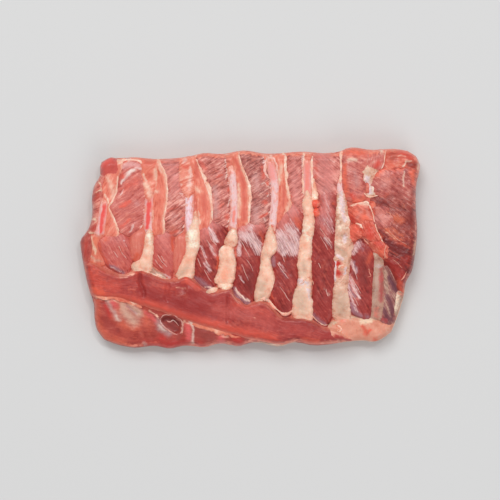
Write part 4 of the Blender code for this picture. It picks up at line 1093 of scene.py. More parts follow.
fat_strip("fat_strip_7",
          [(-58.5, 69, 83), (-52, 67, 82.5), (-44, 67.5, 82), (-36, 68, 81.5), (-30, 69, 81),
           (-24, 68.5, 81), (-15, 69, 82), (-6, 69, 83), (2, 69, 85), (8, 69.5, 83), (15, 69.5, 82),
           (20, 69.7, 82), (26, 70, 81), (33, 70.4, 79.6), (40, 71.4, 78.4), (48, 73, 77)],
          mixed_fat, seed=49.0, lift=3.0, tuck=3.0, ragged=1.9, grain=0.45, uneven=1.2,
          roll=lambda x, y: -3.4 * strokes(
              x, y, [[(72.5, -12, 2.2), (72.6, -16, 1.3), (72.8, -21.5, 2.6)]], 0.4),
          marks={"white": [(0.8, [(73, 40, 1.6), (73, 32, 2)]), (0.7, [(76, 28, 2), (72, 22, 2)]),
                           (0.7, [(74, 17, 1.4), (80, 17, 1.6)]), (0.5, [(73, 5, 3)])],
                 "lilac": [(0.8, [(75, 48, 2), (75, 36, 2.6), (76.5, 28, 1.6)]),
                           (0.9, [(76.5, 26, 1.6), (78, 23, 1.6)]), (0.8, [(78, 11, 1.6), (77.5, 5, 1.4)]),
                           (0.8, [(71.5, -6, 1.5), (75.5, -9, 1.3)]), [(70.3, -12, 0.8), (69.6, -26, 1.0)],
                           (0.9, [(78.5, -16, 1.3), (77.5, -22, 1.0)])],
                 "red": [[(72.4, -12.5, 2.4)], [(72.6, -21, 2.9)], (0.7, [(72, -16, 1.4)])],
                 "pink": [(0.6, [(77, -3, 4)]), (0.6, [(71, 8, 2)]), (0.8, [(76.5, -15, 1.8)]),
                          (0.6, [(72, -57, 3)])],
                 "grey": [(0.8, [(74, -40, 5), (75, -52, 5)]), (0.9, [(77, -5, 3)]),
                          (0.8, [(72, 18, 1.0), (75, 20, 1.0)]),
                          (0.9, [(71, 1, 1), (77, -3, 1.2)]), (0.9, [(75, 11, 1.0), (80, 7, 1.0)])]})
fat_strip("fat_strip_8",
          [(-59, 98, 109), (-50, 99, 110), (-40, 99.5, 110.5), (-30, 100, 110.3), (-20, 100.5, 110),
           (-10, 101, 109), (-5, 100.5, 107.5), (0, 100.5, 103)],
          grey_fat, seed=50.0, lift=2.6, tuck=2.0, uneven=0.4, grain=0.15, ragged=0.8,
          marks={"red": [(0.85, [(107.8, -18, 2.0), (108.3, -30, 2.8), (107.4, -42, 2.4)])],
                 "pink": [(0.9, [(103.5, -50, 2), (104, -56, 2)])], "lilac": [(0.7, [(105.5, -15, 2)])],
                 "grey": [(0.7, [(103, -12, 2), (103, -34, 2.4), (101, -46, 2)])]})
fat_strip("fat_edge_right",
          [(-60, 116.5, 119.5), (-50, 116.5, 122.2), (-44, 116.5, 124.4), (-38, 117.2, 126.3),
           (-33, 119.5, 126)],
          grey_fat, seed=51.0, lift=1.6, radius=3.0, uneven=0.5,
          marks={"pink": [[(125.5, -38, 1.6)], (0.8, [(121.5, -36, 1.2)])],
                 "white": [(0.8, [(121, -40, 2.4), (119, -50, 2.0)])]})


# Skirt
# A flat muscle lies loose across the lower third, from left to right. Its threads run lengthwise,
# its free upper edge is scalloped and rounded, and hangs over the ends of the muscles.
def skirt_notches(x, y):
    """Height added to the skirt: slow swells, less the notches and creases across it."""
    return 0.5 * lumps(x, 0 * y, 13, 6.0) - 1.7 * strokes(x, y, [
        [(-90, -20, 1.2), (-89.5, -28, 1.3), (-87, -38, 1.2)], (0.5, [(-18, -40, 0.9), (-18.5, -60, 0.9)]),
        (0.7, [(-67, -30, 1.2), (-68, -42, 1.4)]), (0.7, [(-55, -33, 2.4)])])


swell("skirt",
      [(x, flap_hem(np.array([x]))[0] - 0.8, y + 0.6) for x, y in FLAP_EDGE],
      flesh("skirt muscle", (142, 42, 40), (166, 54, 50), (190, 80, 72),
            layers=[("bright", (206, 80, 64)), ("shade", (146, 42, 40)), ("orange", (220, 92, 68)),
                    ("glow", (192, 86, 78)), ("pale", (232, 168, 146), "streaky")], contrast=0.6,
            # lip: the rounded edge's orange-red, painted lighter as painted light on that edge
            lip_and_painted_light=(238, 146, 126), coat=0.1),
      along="x", lift=2.8, radius=6.0, sink=2.2, ridge=0.10, pitch=2.6, seed=61.0, uneven=0.5,
      roll=skirt_notches, step=0.62, ragged=0.8, rounding=(0, 5),
      marks={"bright": [(0.8, [(-130, -22, 8), (-120, -31, 8), (-110, -31, 6)]),
                        (0.4, [(-104, -32, 5), (-97, -33, 4)]),
                        (0.55, [(-96, -27, 4), (-76, -31, 4), (-64, -34, 4)]),
                        [(-53, -26, 3), (-42, -33, 2)], (0.8, [(-100, -21, 2), (-88, -19.5, 2)]),
                        [(-120, -38, 3), (-80, -46, 3.4), (-50, -56, 3.6), (-20, -65, 3.6), (20, -73, 4)],
                        (0.7, [(-12, -46, 4.5), (2, -50, 4.5), (14, -53, 4)])],
             "orange": [[(-128, -35, 4), (-122, -37, 3)], (0.5, [(-128, -16, 3), (-124, -20, 3)]),
                        (0.6, [(-52, -26, 2.5)]), (0.8, [(44, -76, 3), (54, -77, 3)])],
             "shade": [[(-90, -20, 1.6), (-89.5, -28, 1.8), (-86, -38, 2.0)],
                       (0.7, [(-85, -24, 3), (-83, -34, 3)]), (0.7, [(-84, -35, 5), (-72, -42, 5)]),
                       (0.7, [(-54, -34, 3), (-46, -38, 3)]), (0.95, [(-18.6, -40, 1.1), (-19.2, -62, 1.1)]),
                       (0.8, [(-60, -45, 7), (-44, -50, 8), (-32, -52, 5)]),
                       (0.8, [(28, -58, 2.4), (42, -60, 2.6), (56, -65, 2.4)])],
             "glow": [(0.8, [(-28, -50, 6), (0, -57, 7), (16, -62, 6)]), (0.5, [(26, -65, 6), (54, -70, 5)]),
                      (0.5, [(-78, -28, 2)])],
             "pale": [(0.5, [(-60, -32, 1.0), (-52, -33, 0.8)]), (0.4, [(4, -57, 1.4)]),
                      (0.8, [(-106, -23, 1.8), (-96, -21, 1.8)]),
                      (0.4, [(-16, -37, 1.6), (-9, -44, 1.6), (0, -46, 1.4)])]})
hem_line = fat("pale hem of the skirt", (212, 96, 76), (228, 134, 108), (242, 184, 158), rim=(204, 80, 64))
HEM_LINES = {
    "hem_left": [(-127, -39.0, 0.8), (-119, -40.0, 1.5), (-112, -40, 1.3), (-105, -41.2, 1.7),
                 (-98, -44, 1.4), (-90, -47, 1.1), (-83, -49.5, 1.1), (-76, -52, 1.3), (-68, -54.4, 0.9)],
    "hem_middle": [(-60, -56.8, 0.8), (-51, -60.3, 1.4), (-45, -61.8, 1.5), (-38, -64.0, 1.2),
                   (-30, -66.1, 1.6), (-22, -68.4, 1.9), (-14, -70.6, 1.5), (-6, -72.6, 0.9)],
}
lay_cords(HEM_LINES, hem_line, 130, wide=1.8, stand=0.1, across=10)


# Belly corner
# Below the skirt the slab thins to a smooth corner of belly muscle, with a greyish sheet of fat, a
# cut through a blood vessel with a pale wall, and the cut ends of two gristly rib tips.
swell("belly_corner",
      [(-130, -58, -38), (-126, -67, -37), (-120, -75.5, -36), (-111, -79, -36), (-97, -82, -40),
       (-77, -80.8, -47), (-67, -82.7, -50), (-55, -80.6, -55), (-45, -81, -58), (-34, -81, -61),
       (-28, -79, -63), (-19, -79, -65), (-10, -81, -67), (0, -78, -71), (10, -77.5, -74)],
      flesh("belly muscle", (146, 48, 40), (171, 63, 53), (198, 94, 80),
            layers=[("red", (188, 47, 42)), ("orange", (206, 96, 74)), ("shade", (142, 44, 40)),
                    ("fat", (208, 164, 144)), ("grey", (192, 146, 138)), ("purple", (170, 124, 122)),
                    ("pink", (214, 90, 88)), ("brown", (152, 63, 56)), ("pale", (240, 184, 160), "streaky"),
                    # pit: the vessel's dark red inside, partly painted shade in the hollow
                    ("light", (236, 206, 190)), ("pit", (112, 38, 38))],
            contrast=0.6, coat=0.3),
      along="x", lift=1.0, radius=5, sink=0.6, ridge=0.08, pitch=3, seed=71.0, uneven=0.6, step=0.6,
      rounding=(0, 4),
      roll=lambda x, y: -0.9 * strokes(x, y, [[(-101, -46.5, 0.9), (-92, -54, 0.9)]], 0.3)
      + 0.9 * strokes(x, y, [[(-51, -62, 2.5), (-50, -76, 2.5)], [(-22, -74, 4)], [(-11, -75, 4)]]),
      marks={"orange": [[(-127, -45, 4), (-127, -60, 4), (-120, -74, 5), (-104, -79, 4)],
                        (0.9, [(-107, -44, 3), (-110, -56, 4), (-103, -64, 4), (-92, -65, 4)]),
                        (0.8, [(-86, -52, 3), (-84, -62, 5)]), (0.35, [(-94, -74, 5), (-104, -72, 4)])],
             "red": [[(-84, -80, 4), (-66, -80, 4), (-54, -78, 4)], (0.8, [(-118, -47, 2), (-114, -56, 2)]),
                     [(-12, -75, 4), (-8, -77, 4)], [(-40, -80, 4)], (0.8, [(-72, -74, 4)])],
             "shade": [(0.9, [(-108, -67, 2.4)]), (0.6, [(-119, -59, 4), (-113, -63, 4)])],
             "fat": [(0.9, [(-105, -45, 3.0), (-102, -53, 4.6), (-95, -60, 5)]),
                     (0.9, [(-98, -47, 2.8), (-91, -54, 4.0)])],
             "grey": [(0.9, [(-117, -43, 1.8), (-112, -51, 2.2), (-108.5, -58, 2.6)]),
                      (0.8, [(-86, -79, 2)])],
             "pink": [[(-114, -43, 1.8), (-109, -48, 2.0)], (0.9, [(-85, -53, 1.4), (-78, -59, 2)]),
                      [(-51, -63, 2.4), (-50, -74, 2.2)], [(-24, -73, 3.4), (-24, -77, 3)]],
             "purple": [[(-76, -59, 2.4), (-73, -65, 3.4), (-67, -70, 3)],
                        (0.9, [(-100, -48, 0.8), (-93, -54, 0.8)])],
             "brown": [[(-42, -68, 5), (-34, -72, 6)], (0.8, [(-58, -74, 3)])],
             "pale": [(0.7, [(-28, -68, 2), (-20, -71, 2.4)]),
                      (0.5, [(-60, -58, 1.2), (-46, -63, 1.4), (-34, -66.5, 1.3)]),
                      (0.7, [(-126, -41.5, 1.2), (-112, -42, 1.6), (-100, -43.5, 1.4), (-90, -48, 1.2)]),
                      (0.8, [(-82, -51, 0.8), (-75, -57, 0.9)]), (0.7, [(-55, -60, 1.0), (-56, -70, 1.2)])],
             "light": [(0.7, [(-48.5, -60, 1.8), (-46.5, -67, 1.2), (-47.5, -78, 1.6)]),
                       (0.5, [(-109.5, -55, 1.4), (-108, -59, 1.6)]),
                       (0.6, [(-74, -63, 1.4), (-70, -68, 1.5)])],
             # The pit mark: the vessel's dark red inside, partly painted shade in the hollow, darkest along
             # its upper part.
             "pit": [[(-71, -58, 2.2), (-65, -58.4, 3.4), (-59, -61.5, 3.4)],
                     (0.8, [(-67, -62, 3.4), (-60, -67, 3.4)])]})
VESSEL = {
    "vessel_wall_1": [(-74, -58, 0.5), (-72, -56, 0.7), (-67, -54.6, 0.6), (-61, -56, 0.5), (-56.5, -59, 0.6),
                      (-55, -63.5, 0.9), (-55.5, -68, 0.9), (-58, -70.8, 0.8)],
    "vessel_wall_2": [(-74, -58, 0.5), (-72.5, -62, 0.6), (-69, -66, 0.8), (-64, -69.4, 0.9),
                      (-59, -71.4, 0.7)],
    "vessel_strand": [(-68.5, -59.2, 0.5), (-65.5, -60.4, 0.8), (-62.5, -59.4, 0.7), (-60.5, -61, 0.6),
                      (-58, -64, 0.5)],
}
vessel_fat = fat("vessel wall", (192, 112, 102), (217, 158, 147), (238, 206, 197), rim=(186, 96, 86))
lay_cords(VESSEL, vessel_fat, 140, wide=0.8, stand=0.4)
fat_strip("fat_edge_below", [(6, -79, -76.5), (14, -80, -76), (24, -80.5, -77), (32, -80, -78)],
          grey_fat, along="x", lift=0.9, radius=2, seed=145.0, uneven=0.3,
          marks={"white": [(0.7, [(20, -79, 4)])]})


# End muscles
# The thick right end was cut through where the loin begins: chunks of muscle lie at odds with
# each other, parted by seams of fat round a greyish hollow.
end_layers = [("pale", (242, 204, 182)), ("red", (204, 64, 50)), ("orange", (228, 106, 82)),
              ("shade", (130, 44, 40)), ("grey", (206, 150, 144)), ("pink", (216, 132, 120)),
              ("vivid", (240, 104, 84))]
end_left = flesh("loin end, left", (172, 76, 70), (206, 112, 102), (230, 152, 138), layers=end_layers,
                 contrast=1.0, veins=0.4)
end_middle = flesh("loin end, middle", (152, 62, 58), (188, 94, 86), (214, 134, 120), layers=end_layers,
                   contrast=1.0, veins=0.5)
end_brown = flesh("loin end, brown", (120, 42, 38), (160, 68, 60), (192, 106, 92),
                  layers=[("pink", (200, 112, 104)), ("orange", (204, 98, 68)), ("shade", (120, 40, 38)),
                          ("pale", (232, 170, 138))], contrast=1.0, veins=0.4)
end_orange = flesh("loin end, orange", (180, 66, 54), (216, 99, 80), (238, 148, 126), layers=end_layers,
                   contrast=1.25, veins=0.5)
end_dark = flesh("loin end, dark", (94, 26, 26), (134, 42, 38), (172, 72, 60),
                 layers=[("red", (156, 41, 35)), ("orange", (198, 84, 64)), ("shade", (112, 34, 34)),
                         ("pale", (206, 150, 120))], contrast=1.1)


def chunk(name, rows, material, **more):
    """A chunk of the cut end: low, with ragged sides that run up against the next one."""
    more = {"lift": 1.4, "radius": 3.5, "ridge": 0.24, "pitch": 2.4, "ragged": 2.6, "uneven": 0.8,
            "grain": 0.3, "rounding": (4, 4), "spread": 1.7, "sink": 0.6, **more}
    return swell(name, rows, material, **more)


chunk("end_muscle_brown",
      [(2, 110, 136.5), (8, 109, 137), (14, 106, 137), (22, 104, 137), (30, 101, 136), (37, 101, 136),
       (43, 101, 136.5)],
      end_brown, slant=-38, ridge=0.3, seed=82.0, rounding=(5, 3),
      marks={"shade": [(0.9, [(105, 38, 1.8), (112, 36, 2)]), (0.8, [(132, 30, 3), (131, 18, 4)]),
                       (0.7, [(122, 14, 3)])],
             "orange": [(0.9, [(118, 24, 3), (124, 22, 3)]),
                        (0.9, [(110, 16, 1.6), (118, 9, 1.8), (128, 3, 1.6)]),
                        (0.8, [(116, 16, 1.2), (127, 8, 1.2)]), (0.8, [(126, 34, 2)]), (0.6, [(134, 24, 2)])],
             "pink": [(0.35, [(121, 38, 3), (116, 34, 3)]), (0.8, [(134.5, 27, 2)])],
             "pale": [(0.6, [(111, 13, 0.5), (118, 8, 0.5)])]})
chunk("end_muscle_dark",
      [(-38, 122, 126.5), (-32, 119, 127.5), (-24, 114.5, 130), (-16, 110.5, 133), (-8, 109.5, 134.5),
       (0, 110, 136), (6, 110, 136.5), (12, 112, 137)],
      end_dark, slant=-30, ridge=0.35, pitch=2.8, seed=81.0,
      marks={"red": [[(116, -13, 5), (122, -19, 5), (124, -26, 4)], (0.8, [(112, -7, 2), (120, -9, 2)]),
                     (0.8, [(128, -10, 4)])],
             "orange": [[(122, -28, 2.6), (124, -35, 2)],
                        (0.8, [(112, 9, 1.2), (122, 4, 1.2), (130, 0, 1.0)]),
                        (0.6, [(114, -2, 0.8), (124, -6, 0.8)])],
             "shade": [[(113, 5, 2.4), (118, 0, 3), (126, -4, 3)]],
             "pale": [(0.9, [(135, 6, 0.9), (134, -6, 0.9)])]})
chunk("end_muscle_low",
      [(15, 103, 113), (20, 102, 116), (26, 102, 116.5), (32, 102, 113), (36, 102.5, 109)],
      end_middle, slant=-45, seed=83.5, lift=1.8,
      marks={"pink": [(0.8, [(107, 28, 4), (110, 22, 4)])], "grey": [(0.7, [(108, 24, 3)])],
             "orange": [(0.8, [(107, 15, 2)])], "shade": [(0.6, [(114, 30, 1.2)])]})
chunk("end_muscle_mid",
      [(39, 108, 135.5), (44, 102, 136), (50, 101, 136.3), (56, 102, 137), (62, 104, 137.5),
       (66.5, 109, 137)],
      end_middle, lift=1.9, radius=5, slant=-35, ridge=0.2, seed=83.0, dome=0.8,
      marks={"pink": [(0.8, [(112, 56, 6)]), (0.5, [(120, 60, 5)])], "grey": [(0.7, [(110, 52, 4)])],
             "orange": [[(133, 62, 3), (135, 52, 2)], (0.9, [(104, 60, 3), (110, 65, 2), (124, 65, 2)]),
                        (0.7, [(112, 43, 2)])],
             "shade": [(0.7, [(122, 43, 4), (112, 42, 2)]), (0.8, [(134, 46, 3)]), (0.7, [(105, 47, 1.4)])],
             "red": [(0.6, [(118, 62, 4)])], "pale": [(0.7, [(126, 62, 0.8), (125.5, 51, 0.9)])]})
chunk("end_muscle_top",
      [(109, 65, 82), (114, 64.5, 82), (120, 64.5, 82), (127, 64, 81), (133, 62, 79), (138.5, 61, 75)],
      end_orange, along="x", lift=1.6, ridge=0.14, seed=84.0, dome=0.4, rounding=(4, 0),
      marks={"shade": [(0.9, [(130, 69, 2.4), (135, 68, 3)]), (0.6, [(116, 74, 6)])],
             "red": [(0.8, [(122, 79, 3), (132, 75, 3)])],
             "orange": [(0.8, [(113, 78, 4), (116, 68, 3)])],
             "pale": [(0.9, [(121, 75, 0.7), (124, 76.6, 0.9), (127, 75, 0.6)]),
                      (0.9, [(125, 67.5, 0.7), (128, 70.5, 0.8), (132, 71.5, 0.5)]),
                      [(139, 72, 1.6), (138.5, 64, 1.4)], (0.7, [(134, 64, 1.6)])]})
chunk("end_muscle_upper",
      [(62, 96, 103), (66, 95, 107.5), (72, 95.5, 108.5), (78, 96, 110), (82, 96, 110.5)],
      end_left, seed=85.0, rounding=(4, 0),
      marks={"red": [(0.9, [(105, 70, 2.4), (103, 66, 2)])], "orange": [(0.7, [(98, 76, 2)])],
             "pale": [(0.9, [(108, 79, 2.0)]), (0.5, [(101, 70, 1.0)])]})
chunk("end_muscle_left",
      [(37, 80, 93), (44, 77.5, 94), (50, 76.3, 93), (56, 75.8, 92), (62, 75.8, 92.5), (68, 76.3, 95.5),
       (75, 77.3, 96.5), (82, 77.5, 97)],
      end_left, lift=1.8, slant=-20, ridge=0.2, seed=86.0, rounding=(4, 0), ragged=1.6,
      marks={"orange": [[(80, 80, 5), (92, 80, 5)], (0.9, [(77.5, 68, 1.6), (77.5, 56, 2), (79, 44, 2.4)]),
                        (0.9, [(86, 38, 3), (93, 40, 3)])],
             "red": [[(84, 43, 2.4), (86, 40, 2)], (0.9, [(81, 36, 2)])],
             "shade": [(0.5, [(86, 56, 2), (88, 51, 2)])],
             "grey": [(0.6, [(86, 62, 4), (88, 52, 3)])], "pale": [(0.8, [(81, 72, 1.6), (86, 72, 2)])]})
chunk("end_chunk",
      [(19, 84, 99), (24, 80.5, 101.5), (30, 80.3, 101), (34, 81, 99), (38, 87, 97)],
      end_orange, lift=1.8, radius=4.5, seed=87.0, slant=-30, ridge=0.14, dome=0.3, ragged=2.4,
      marks={"orange": [[(90, 30, 6), (96, 25, 5)]],
             "pink": [(0.7, [(90, 30, 3), (88, 25, 2.4)]), (0.8, [(95, 32, 2.4), (98.5, 25, 1.6)])],
             "red": [(0.9, [(83, 25, 3), (85, 20, 2.4)]), (0.7, [(93, 26, 2), (96, 21, 1.6)])],
             "shade": [(0.35, [(87, 22, 1.4)]), (0.3, [(98, 30, 1.6)])],
             "pale": [[(82.5, 34.5, 0.6), (86, 35.6, 0.7)], [(90, 35, 1.2), (94, 36, 1.8), (97, 36.5, 1.4)]]})
chunk("end_chunk_deep", [(4, 98, 107), (9, 94, 106), (14, 92.5, 104), (20, 92.5, 102.5), (24, 94, 101.5)],
      end_orange, slant=-60, seed=88.0, lift=1.8,
      marks={"red": [(0.9, [(97, 16, 4), (98, 10, 4)])],
             "shade": [(0.5, [(95, 9, 1.4)]), (0.5, [(99, 4, 2)])],
             "pale": [(0.6, [(94, 8, 0.8), (97, 5, 0.8)])]})
chunk("end_bit_red", [(5, 83.5, 86), (9, 81.4, 89.6), (13.5, 81, 91), (17, 82, 87), (20, 83, 85.5)],
      end_orange, lift=2.4, radius=3.5, seed=89.0, slant=-40, dome=0.4, ragged=2.2,
      marks={"vivid": [[(85, 12, 5), (86, 16, 4)]]})
chunk("end_bit_low", [(-10, 109, 111.5), (-4, 103, 112), (2, 98.5, 111.5), (7, 99, 107.5)],
      end_orange, lift=2.0, radius=3, slant=-50, seed=90.0,
      marks={"red": [(0.9, [(103, 5, 3), (106, 2, 3)])], "orange": [[(107, -3, 3)]]})
chunk("end_bit_orange", [(31, 98.5, 103), (35, 98, 103.5), (39, 97.5, 102)],
      end_orange, lift=1.8, radius=2.5, seed=90.5,
      marks={"orange": [[(100, 35, 3)]], "pale": [(0.7, [(101, 35, 1.8), (101, 32, 2)])]})
fat_strip("end_fat_patch",
          [(41, 95, 103), (46, 92.5, 102), (52, 91.5, 101.5), (57, 91.3, 103), (61, 90.5, 107.5),
           (64, 91.5, 105), (69, 94, 98)],
          mixed_fat, lift=1.2, radius=2.5, seed=91.0, ragged=3.0, rounding=(3, 3), grain=0.5,
          roll=lambda x, y: -2.0 * strokes(x, y, [[(96, 52, 2.2), (96.5, 46.5, 2.4)]], 0.3),
          marks={"white": [(0.15, [(95, 65, 2.0), (97, 61, 2.6)]), (0.6, [(103, 62, 1.8)]),
                           (0.9, [(100.8, 50, 1.2), (100.5, 44, 1.2)]), [(92.3, 51, 0.7), (93, 57, 0.7)]],
                 "lilac": [[(96, 57, 2.0), (96, 50, 2.2), (98.5, 45, 1.8)]], "red": [[(96.3, 46.3, 1.5)]],
                 "grey": [(0.6, [(96, 61, 3)])],
                 "pink": [[(102, 57, 1.8), (102, 52, 1.4)]]})
END_CORDS = {
    "end_cord_1": [(111.6, 81, 0.9), (110, 74, 0.7), (108.8, 67, 0.6), (106.5, 64, 0.7)],
    "end_cord_2": [(81.5, 33.8, 0.5), (85.5, 35.8, 0.6), (90, 36.2, 0.9), (96, 37.2, 1.2), (98.4, 33.5, 0.7),
                   (100.6, 27, 0.6), (102, 20, 0.6), (104.5, 13.5, 0.7), (107, 8, 0.6), (109.5, 3, 0.8)],
    "end_cord_3": [(93, 45, 0.7), (95.5, 42.4, 0.8), (100, 41.8, 0.9), (105.5, 43.4, 0.6)],
    "end_cord_4": [(86, 20, 1.1), (88.6, 20, 2.4), (91, 18.2, 2.6), (92.6, 15.6, 1.3)],
}
THIN_CORDS = {
    "end_cord_5": [(93, 8, 0.7), (94.5, 6, 0.9), (97.5, 3, 0.6)],
    "end_cord_7": [(111, -8.5, 0.5), (110.3, -4, 0.7), (111.4, 3, 0.8)],
    "end_cord_8": [(119.5, -27.3, 0.4), (123, -26.2, 0.5), (126.4, -23, 0.6), (128.5, -19, 0.3)],
    "end_cord_9": [(116, -9.6, 0.3), (121, -12.5, 0.4), (125, -17, 0.3)],
    "end_cord_10": [(113, 15.5, 0.3), (118, 9.5, 0.5), (124, 5.4, 0.4), (129, 2.6, 0.3)],
    "end_cord_11": [(111, 30.5, 0.4), (114.5, 28.2, 0.5), (115, 25, 0.3)],
    "end_cord_12": [(120.4, -36.5, 0.5), (122.4, -37.6, 0.7), (125, -37.5, 0.5)],
    "pink_hook": [(96.9, -16.6, 0.6), (97.8, -19.5, 0.5), (98.9, -23.2, 0.6), (96, -24.3, 0.4)],
}
thin_fat = fat("thin seam of fat", (204, 112, 94), (224, 146, 126), (240, 188, 168), rim=(196, 96, 80))
lay_cords(END_CORDS, cord_fat, 95, stand=0.4, across=10)
lay_cords(THIN_CORDS, thin_fat, 99, stand=0.4, across=10)


# Fat pad, lower right
# A smooth salmon pad of fat closes the lower right corner, with a few thin red bits in it.
pad_fat = fat("salmon fat", (210, 130, 106), (226, 150, 126), (238, 178, 154),
              layers=[("red", (220, 100, 78)), ("pale", (234, 196, 168)), ("meat", (176, 60, 54)),
                      ("grey", (214, 180, 154))], contrast=0.8)
swell("fat_pad",
      [(63, -70, -63), (68, -74, -59.5), (73, -76, -56.5), (78, -76, -55.6), (84, -76.3, -56),
       (90, -76.5, -57.2),
       (98, -76.5, -56.6), (104, -76.3, -58.8), (110, -73.3, -62.2), (115, -69.5, -62.5), (119, -66, -59)],
      pad_fat, along="x", lift=3.2, radius=4.5, ridge=0.0, uneven=0.8, seed=101.0, dome=0.4, ragged=1.6,
      grain=0.2,
      roll=lambda x, y: -1.2 * rise(-61, -57, y) - 0.9 * strokes(
          x, y, [[(91, -62, 0.8), (95, -69, 1.2), (96, -75, 0.8)], [(70, -63, 1.0), (75, -66, 0.8)]], 0.4),
      marks={"red": [(0.9, [(92, -64, 1.4), (95, -70, 2.2), (98, -67, 1.5)]), (0.9, [(103, -75.5, 2.4)]),
                     (0.5, [(76, -59, 3)])],
             "pale": [[(93, -60, 2.6), (99, -59, 2.2)], (0.25, [(101, -62, 0.9), (108, -68, 0.9)]),
                      (0.6, [(84, -58, 3)]), (0.35, [(112, -66, 3)])],
             "grey": [(0.8, [(66, -62, 2.4), (70, -61, 1.6)]),
                      (0.7, [(76, -56, 2.2), (90, -57, 2.0), (102, -57.5, 2.2)])],
             "meat": [[(71, -73.5, 2.2), (76, -74.5, 2.0), (82, -76, 1.4)]]})
ROPE = {
    "rope_5": [(8, -42.0, 1.0), (12, -41.2, 1.8), (15.5, -43.2, 2.0), (18.4, -46.6, 1.7),
               (21.4, -50.0, 1.4), (25.4, -53.0, 1.3), (29, -54.0, 1.4), (33, -52.6, 1.2), (35.5, -51, 0.9)],
    "rope_6": [(50.5, -54, 0.4), (53, -57.6, 0.5), (57, -61.4, 0.6), (61, -63.6, 0.7), (64, -63.2, 0.5)],
    "rope_6b": [(70.8, -64, 1.0), (73, -64.4, 1.3), (75, -66.5, 0.9), (73, -68.6, 1.0), (71.4, -67, 0.8)],
    "rope_2": [(-83, -20, 0.4), (-77, -22.6, 0.6), (-71, -25, 0.6), (-66, -25.4, 0.4)],
    "rope_1": [(-128, -9, 1.0), (-125, -9.5, 1.3), (-122, -11.5, 0.6)],
    "hole_strand": [(68.5, -29.5, 0.7), (71, -29.4, 0.7), (75, -26, 0.7), (79, -21.5, 0.5)],
    "hole_bit": [(72, -16.4, 1.0), (74.5, -14.6, 1.4), (77, -13.6, 0.7)],
    "hole_wall": [(70, -10.6, 0.4), (72.5, -9.8, 0.5), (74.8, -12, 0.4)],
    "fold_6": [(38, -31.5, 0.5), (43, -28.4, 0.5), (48, -23.6, 0.5), (50.5, -26, 0.4), (52, -30.5, 0.4)],
}
lay_cords(ROPE, cord_fat, 110, stand=0.8, across=10)

# Loose strands of the torn skin over the muscles, thin and whitish
STRANDS = [
    [(-108, 2), (-104, -5), (-101, -9)], [(-112, -2), (-108, -8)], [(-76, -5), (-72, -11), (-67.5, -16)],
    [(-73, -6), (-70, -11)], [(-78, -9), (-74, -14.5), (-71, -17)], [(-40, 0), (-37, -8), (-33, -16)],
    [(-36, 8), (-32, 0), (-28, -8)], [(-38, -17), (-35, -23), (-31, -28)], [(-43, -8), (-40, -16)],
    [(-34, 12), (-30, 5), (-27, 2)], [(-7, -13), (-4, -20), (-1, -27)], [(-3, -9), (1, -15), (3, -20)],
    [(-9, 8), (-4, 0), (0, -8)], [(2, 8), (6, 0), (8, -7)], [(22, -12), (27, -19), (32, -26)],
    [(24, -31), (29, -38), (33, -44)], [(26, 12), (31, 3), (34, -6)], [(31, 16), (36, 7), (39, -2)],
    [(22, 2), (26, -6), (29, -12)], [(57, 10), (61, 4), (64, -2)], [(60, 11), (64, 5), (67.5, 0)],
    [(57, 17), (62, 10), (67, 4)], [(59, 26), (64, 18), (68, 11)], [(56, -12), (58, -17)],
    [(79, -24), (84, -33), (90, -43)], [(82, -22), (87, -31), (91, -38)], [(83, -12), (86, -20), (88, -27)],
    [(80, -32), (86, -42), (89, -48)], [(84, 3), (87, -4)], [(62, -33), (64, -40)],
    [(-13, -33), (-9, -39), (-5, -42)],
]
STRAND_HALF = 0.28
strand_skin = fat("strand of skin", (226, 178, 172), (236, 200, 194), (246, 222, 216))
lay_cords({f"strand_{n}": [(x, y, STRAND_HALF) for x, y in points] for n, points in enumerate(STRANDS, 1)},
          strand_skin, 150, stand=0.35, across=4, waver=0.7)


# Lumps at the left edge
# The cut left side ends in a dark lump beside the first rib and a round red one at the corner,
# with a bit of grey fat and orange flesh between them and the first muscle.
swell("corner_lump",
      [(57, -125.5, -106.5), (63, -125.5, -106), (70, -125.5, -106), (78.5, -125.5, -107)],
      flesh("corner lump", (178, 66, 58), (206, 86, 78), (226, 122, 108),
            layers=[("red", (228, 86, 76)), ("shade", (180, 68, 60))], contrast=0.6),
      lift=2.6, radius=8, dome=0.4, seed=121.0, slant=40, ridge=0.1, rounding=(9, 9),
      marks={"red": [[(-122, 66, 1.6), (-118, 72, 2.4), (-112, 74, 1.6)]], "shade": [(0.7, [(-112, 67, 3)])]})
swell("left_flesh",
      [(-16, -134, -118), (-8, -131.5, -120), (-2, -130, -123), (5, -130.5, -124), (12, -132, -119)],
      flesh("left flesh", (190, 84, 66), (218, 116, 94), (236, 152, 128),
            layers=[("pale", (236, 198, 170)), ("grey", (196, 172, 150)), ("red", (206, 78, 60)),
                    ("orange", (228, 124, 96))], contrast=0.8),
      lift=1.6, radius=3, seed=122.0, spread=1.6,
      marks={"pale": [(0.9, [(-130.5, 9, 1.2), (-128, 2, 1.2), (-127, -4, 1.4)])],
             "grey": [(0.6, [(-130, -7, 1.2), (-127, -10, 1.4), (-122, -11, 1.0)])],
             "orange": [[(-126, 6, 3)]], "red": [(0.6, [(-131, -13, 2)])]})
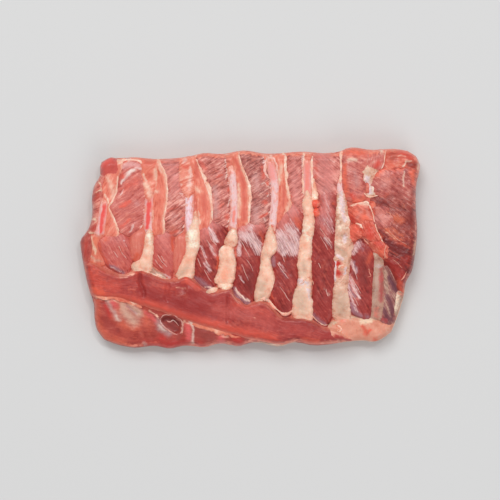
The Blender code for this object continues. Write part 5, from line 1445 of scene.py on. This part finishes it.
swell("left_lump",
      [(-26, -137, -132), (-16, -138, -131), (-8, -139.5, -130), (0, -140, -129.3),
       (8, -140, -130), (13, -138, -131)],
      flesh("left lump", (156, 56, 50), (186, 82, 72), (208, 112, 98),
            layers=[("red", (180, 62, 54)), ("orange", (214, 104, 78))], contrast=0.8),
      lift=2.2, radius=4, dome=0.4, seed=123.0,
      marks={"red": [(0.8, [(-134, 4, 2), (-135, -6, 2)])], "orange": [[(-134, -18, 3)]]})


# Floor, light and camera
# A plain pale floor and soft light from all round, a little stronger from above the upper edge.
# The camera looks straight down on the rack from three metres up.
floor_shape = bmesh.new()
bmesh.ops.create_grid(floor_shape, x_segments=1, y_segments=1, size=4.0)
floor_mesh = bpy.data.meshes.new("floor")
floor_shape.to_mesh(floor_mesh)
floor_shape.free()
floor_finish = bpy.data.materials.new("floor paper")
floor_finish.use_nodes = True
paper = floor_finish.node_tree.nodes["Principled BSDF"].inputs
for socket, value in (("Base Color", (0.67, 0.67, 0.67, 1)), ("Roughness", 0.9),
                      ("Specular IOR Level", 0.0)):
    paper[socket].default_value = value
floor_mesh.materials.append(floor_finish)
floor = into_scene("floor", floor_mesh)

sky = bpy.data.worlds.new("soft sky")
sky.use_nodes = True
sky.node_tree.nodes["Background"].inputs["Color"].default_value = (1, 1, 1, 1)
sky.node_tree.nodes["Background"].inputs["Strength"].default_value = 0.48
bpy.context.scene.world = sky


def lamp(name, watts, size, place):
    """A square lamp at the place, turned to the middle of the rack."""
    light = bpy.data.lights.new(name, "AREA")
    light.energy, light.size = watts, size
    made = into_scene(name, light)
    made.location = place
    made.rotation_euler = (-Vector(place)).to_track_quat("-Z", "Y").to_euler()


lamp("key", 80, 2.0, (-0.8, 2.1, 3.6))
lamp("fill", 21, 2.0, (1.3, -2.2, 2.4))
lamp("glint", 19, 0.3, (0.9, 1.3, 3.7))

CAMERA_HEIGHT = 3.0
FRAME_WIDTH, FRAME_LEVEL = 0.41, 0.018
SENSOR = 36
lens = bpy.data.cameras.new("camera")
lens.sensor_width = SENSOR
lens.lens = SENSOR * (CAMERA_HEIGHT - FRAME_LEVEL) / FRAME_WIDTH
camera = into_scene("camera", lens)
camera.location = (0, -1.64 * MM, CAMERA_HEIGHT)
bpy.context.scene.camera = camera
bpy.context.scene.view_settings.view_transform = "Standard"
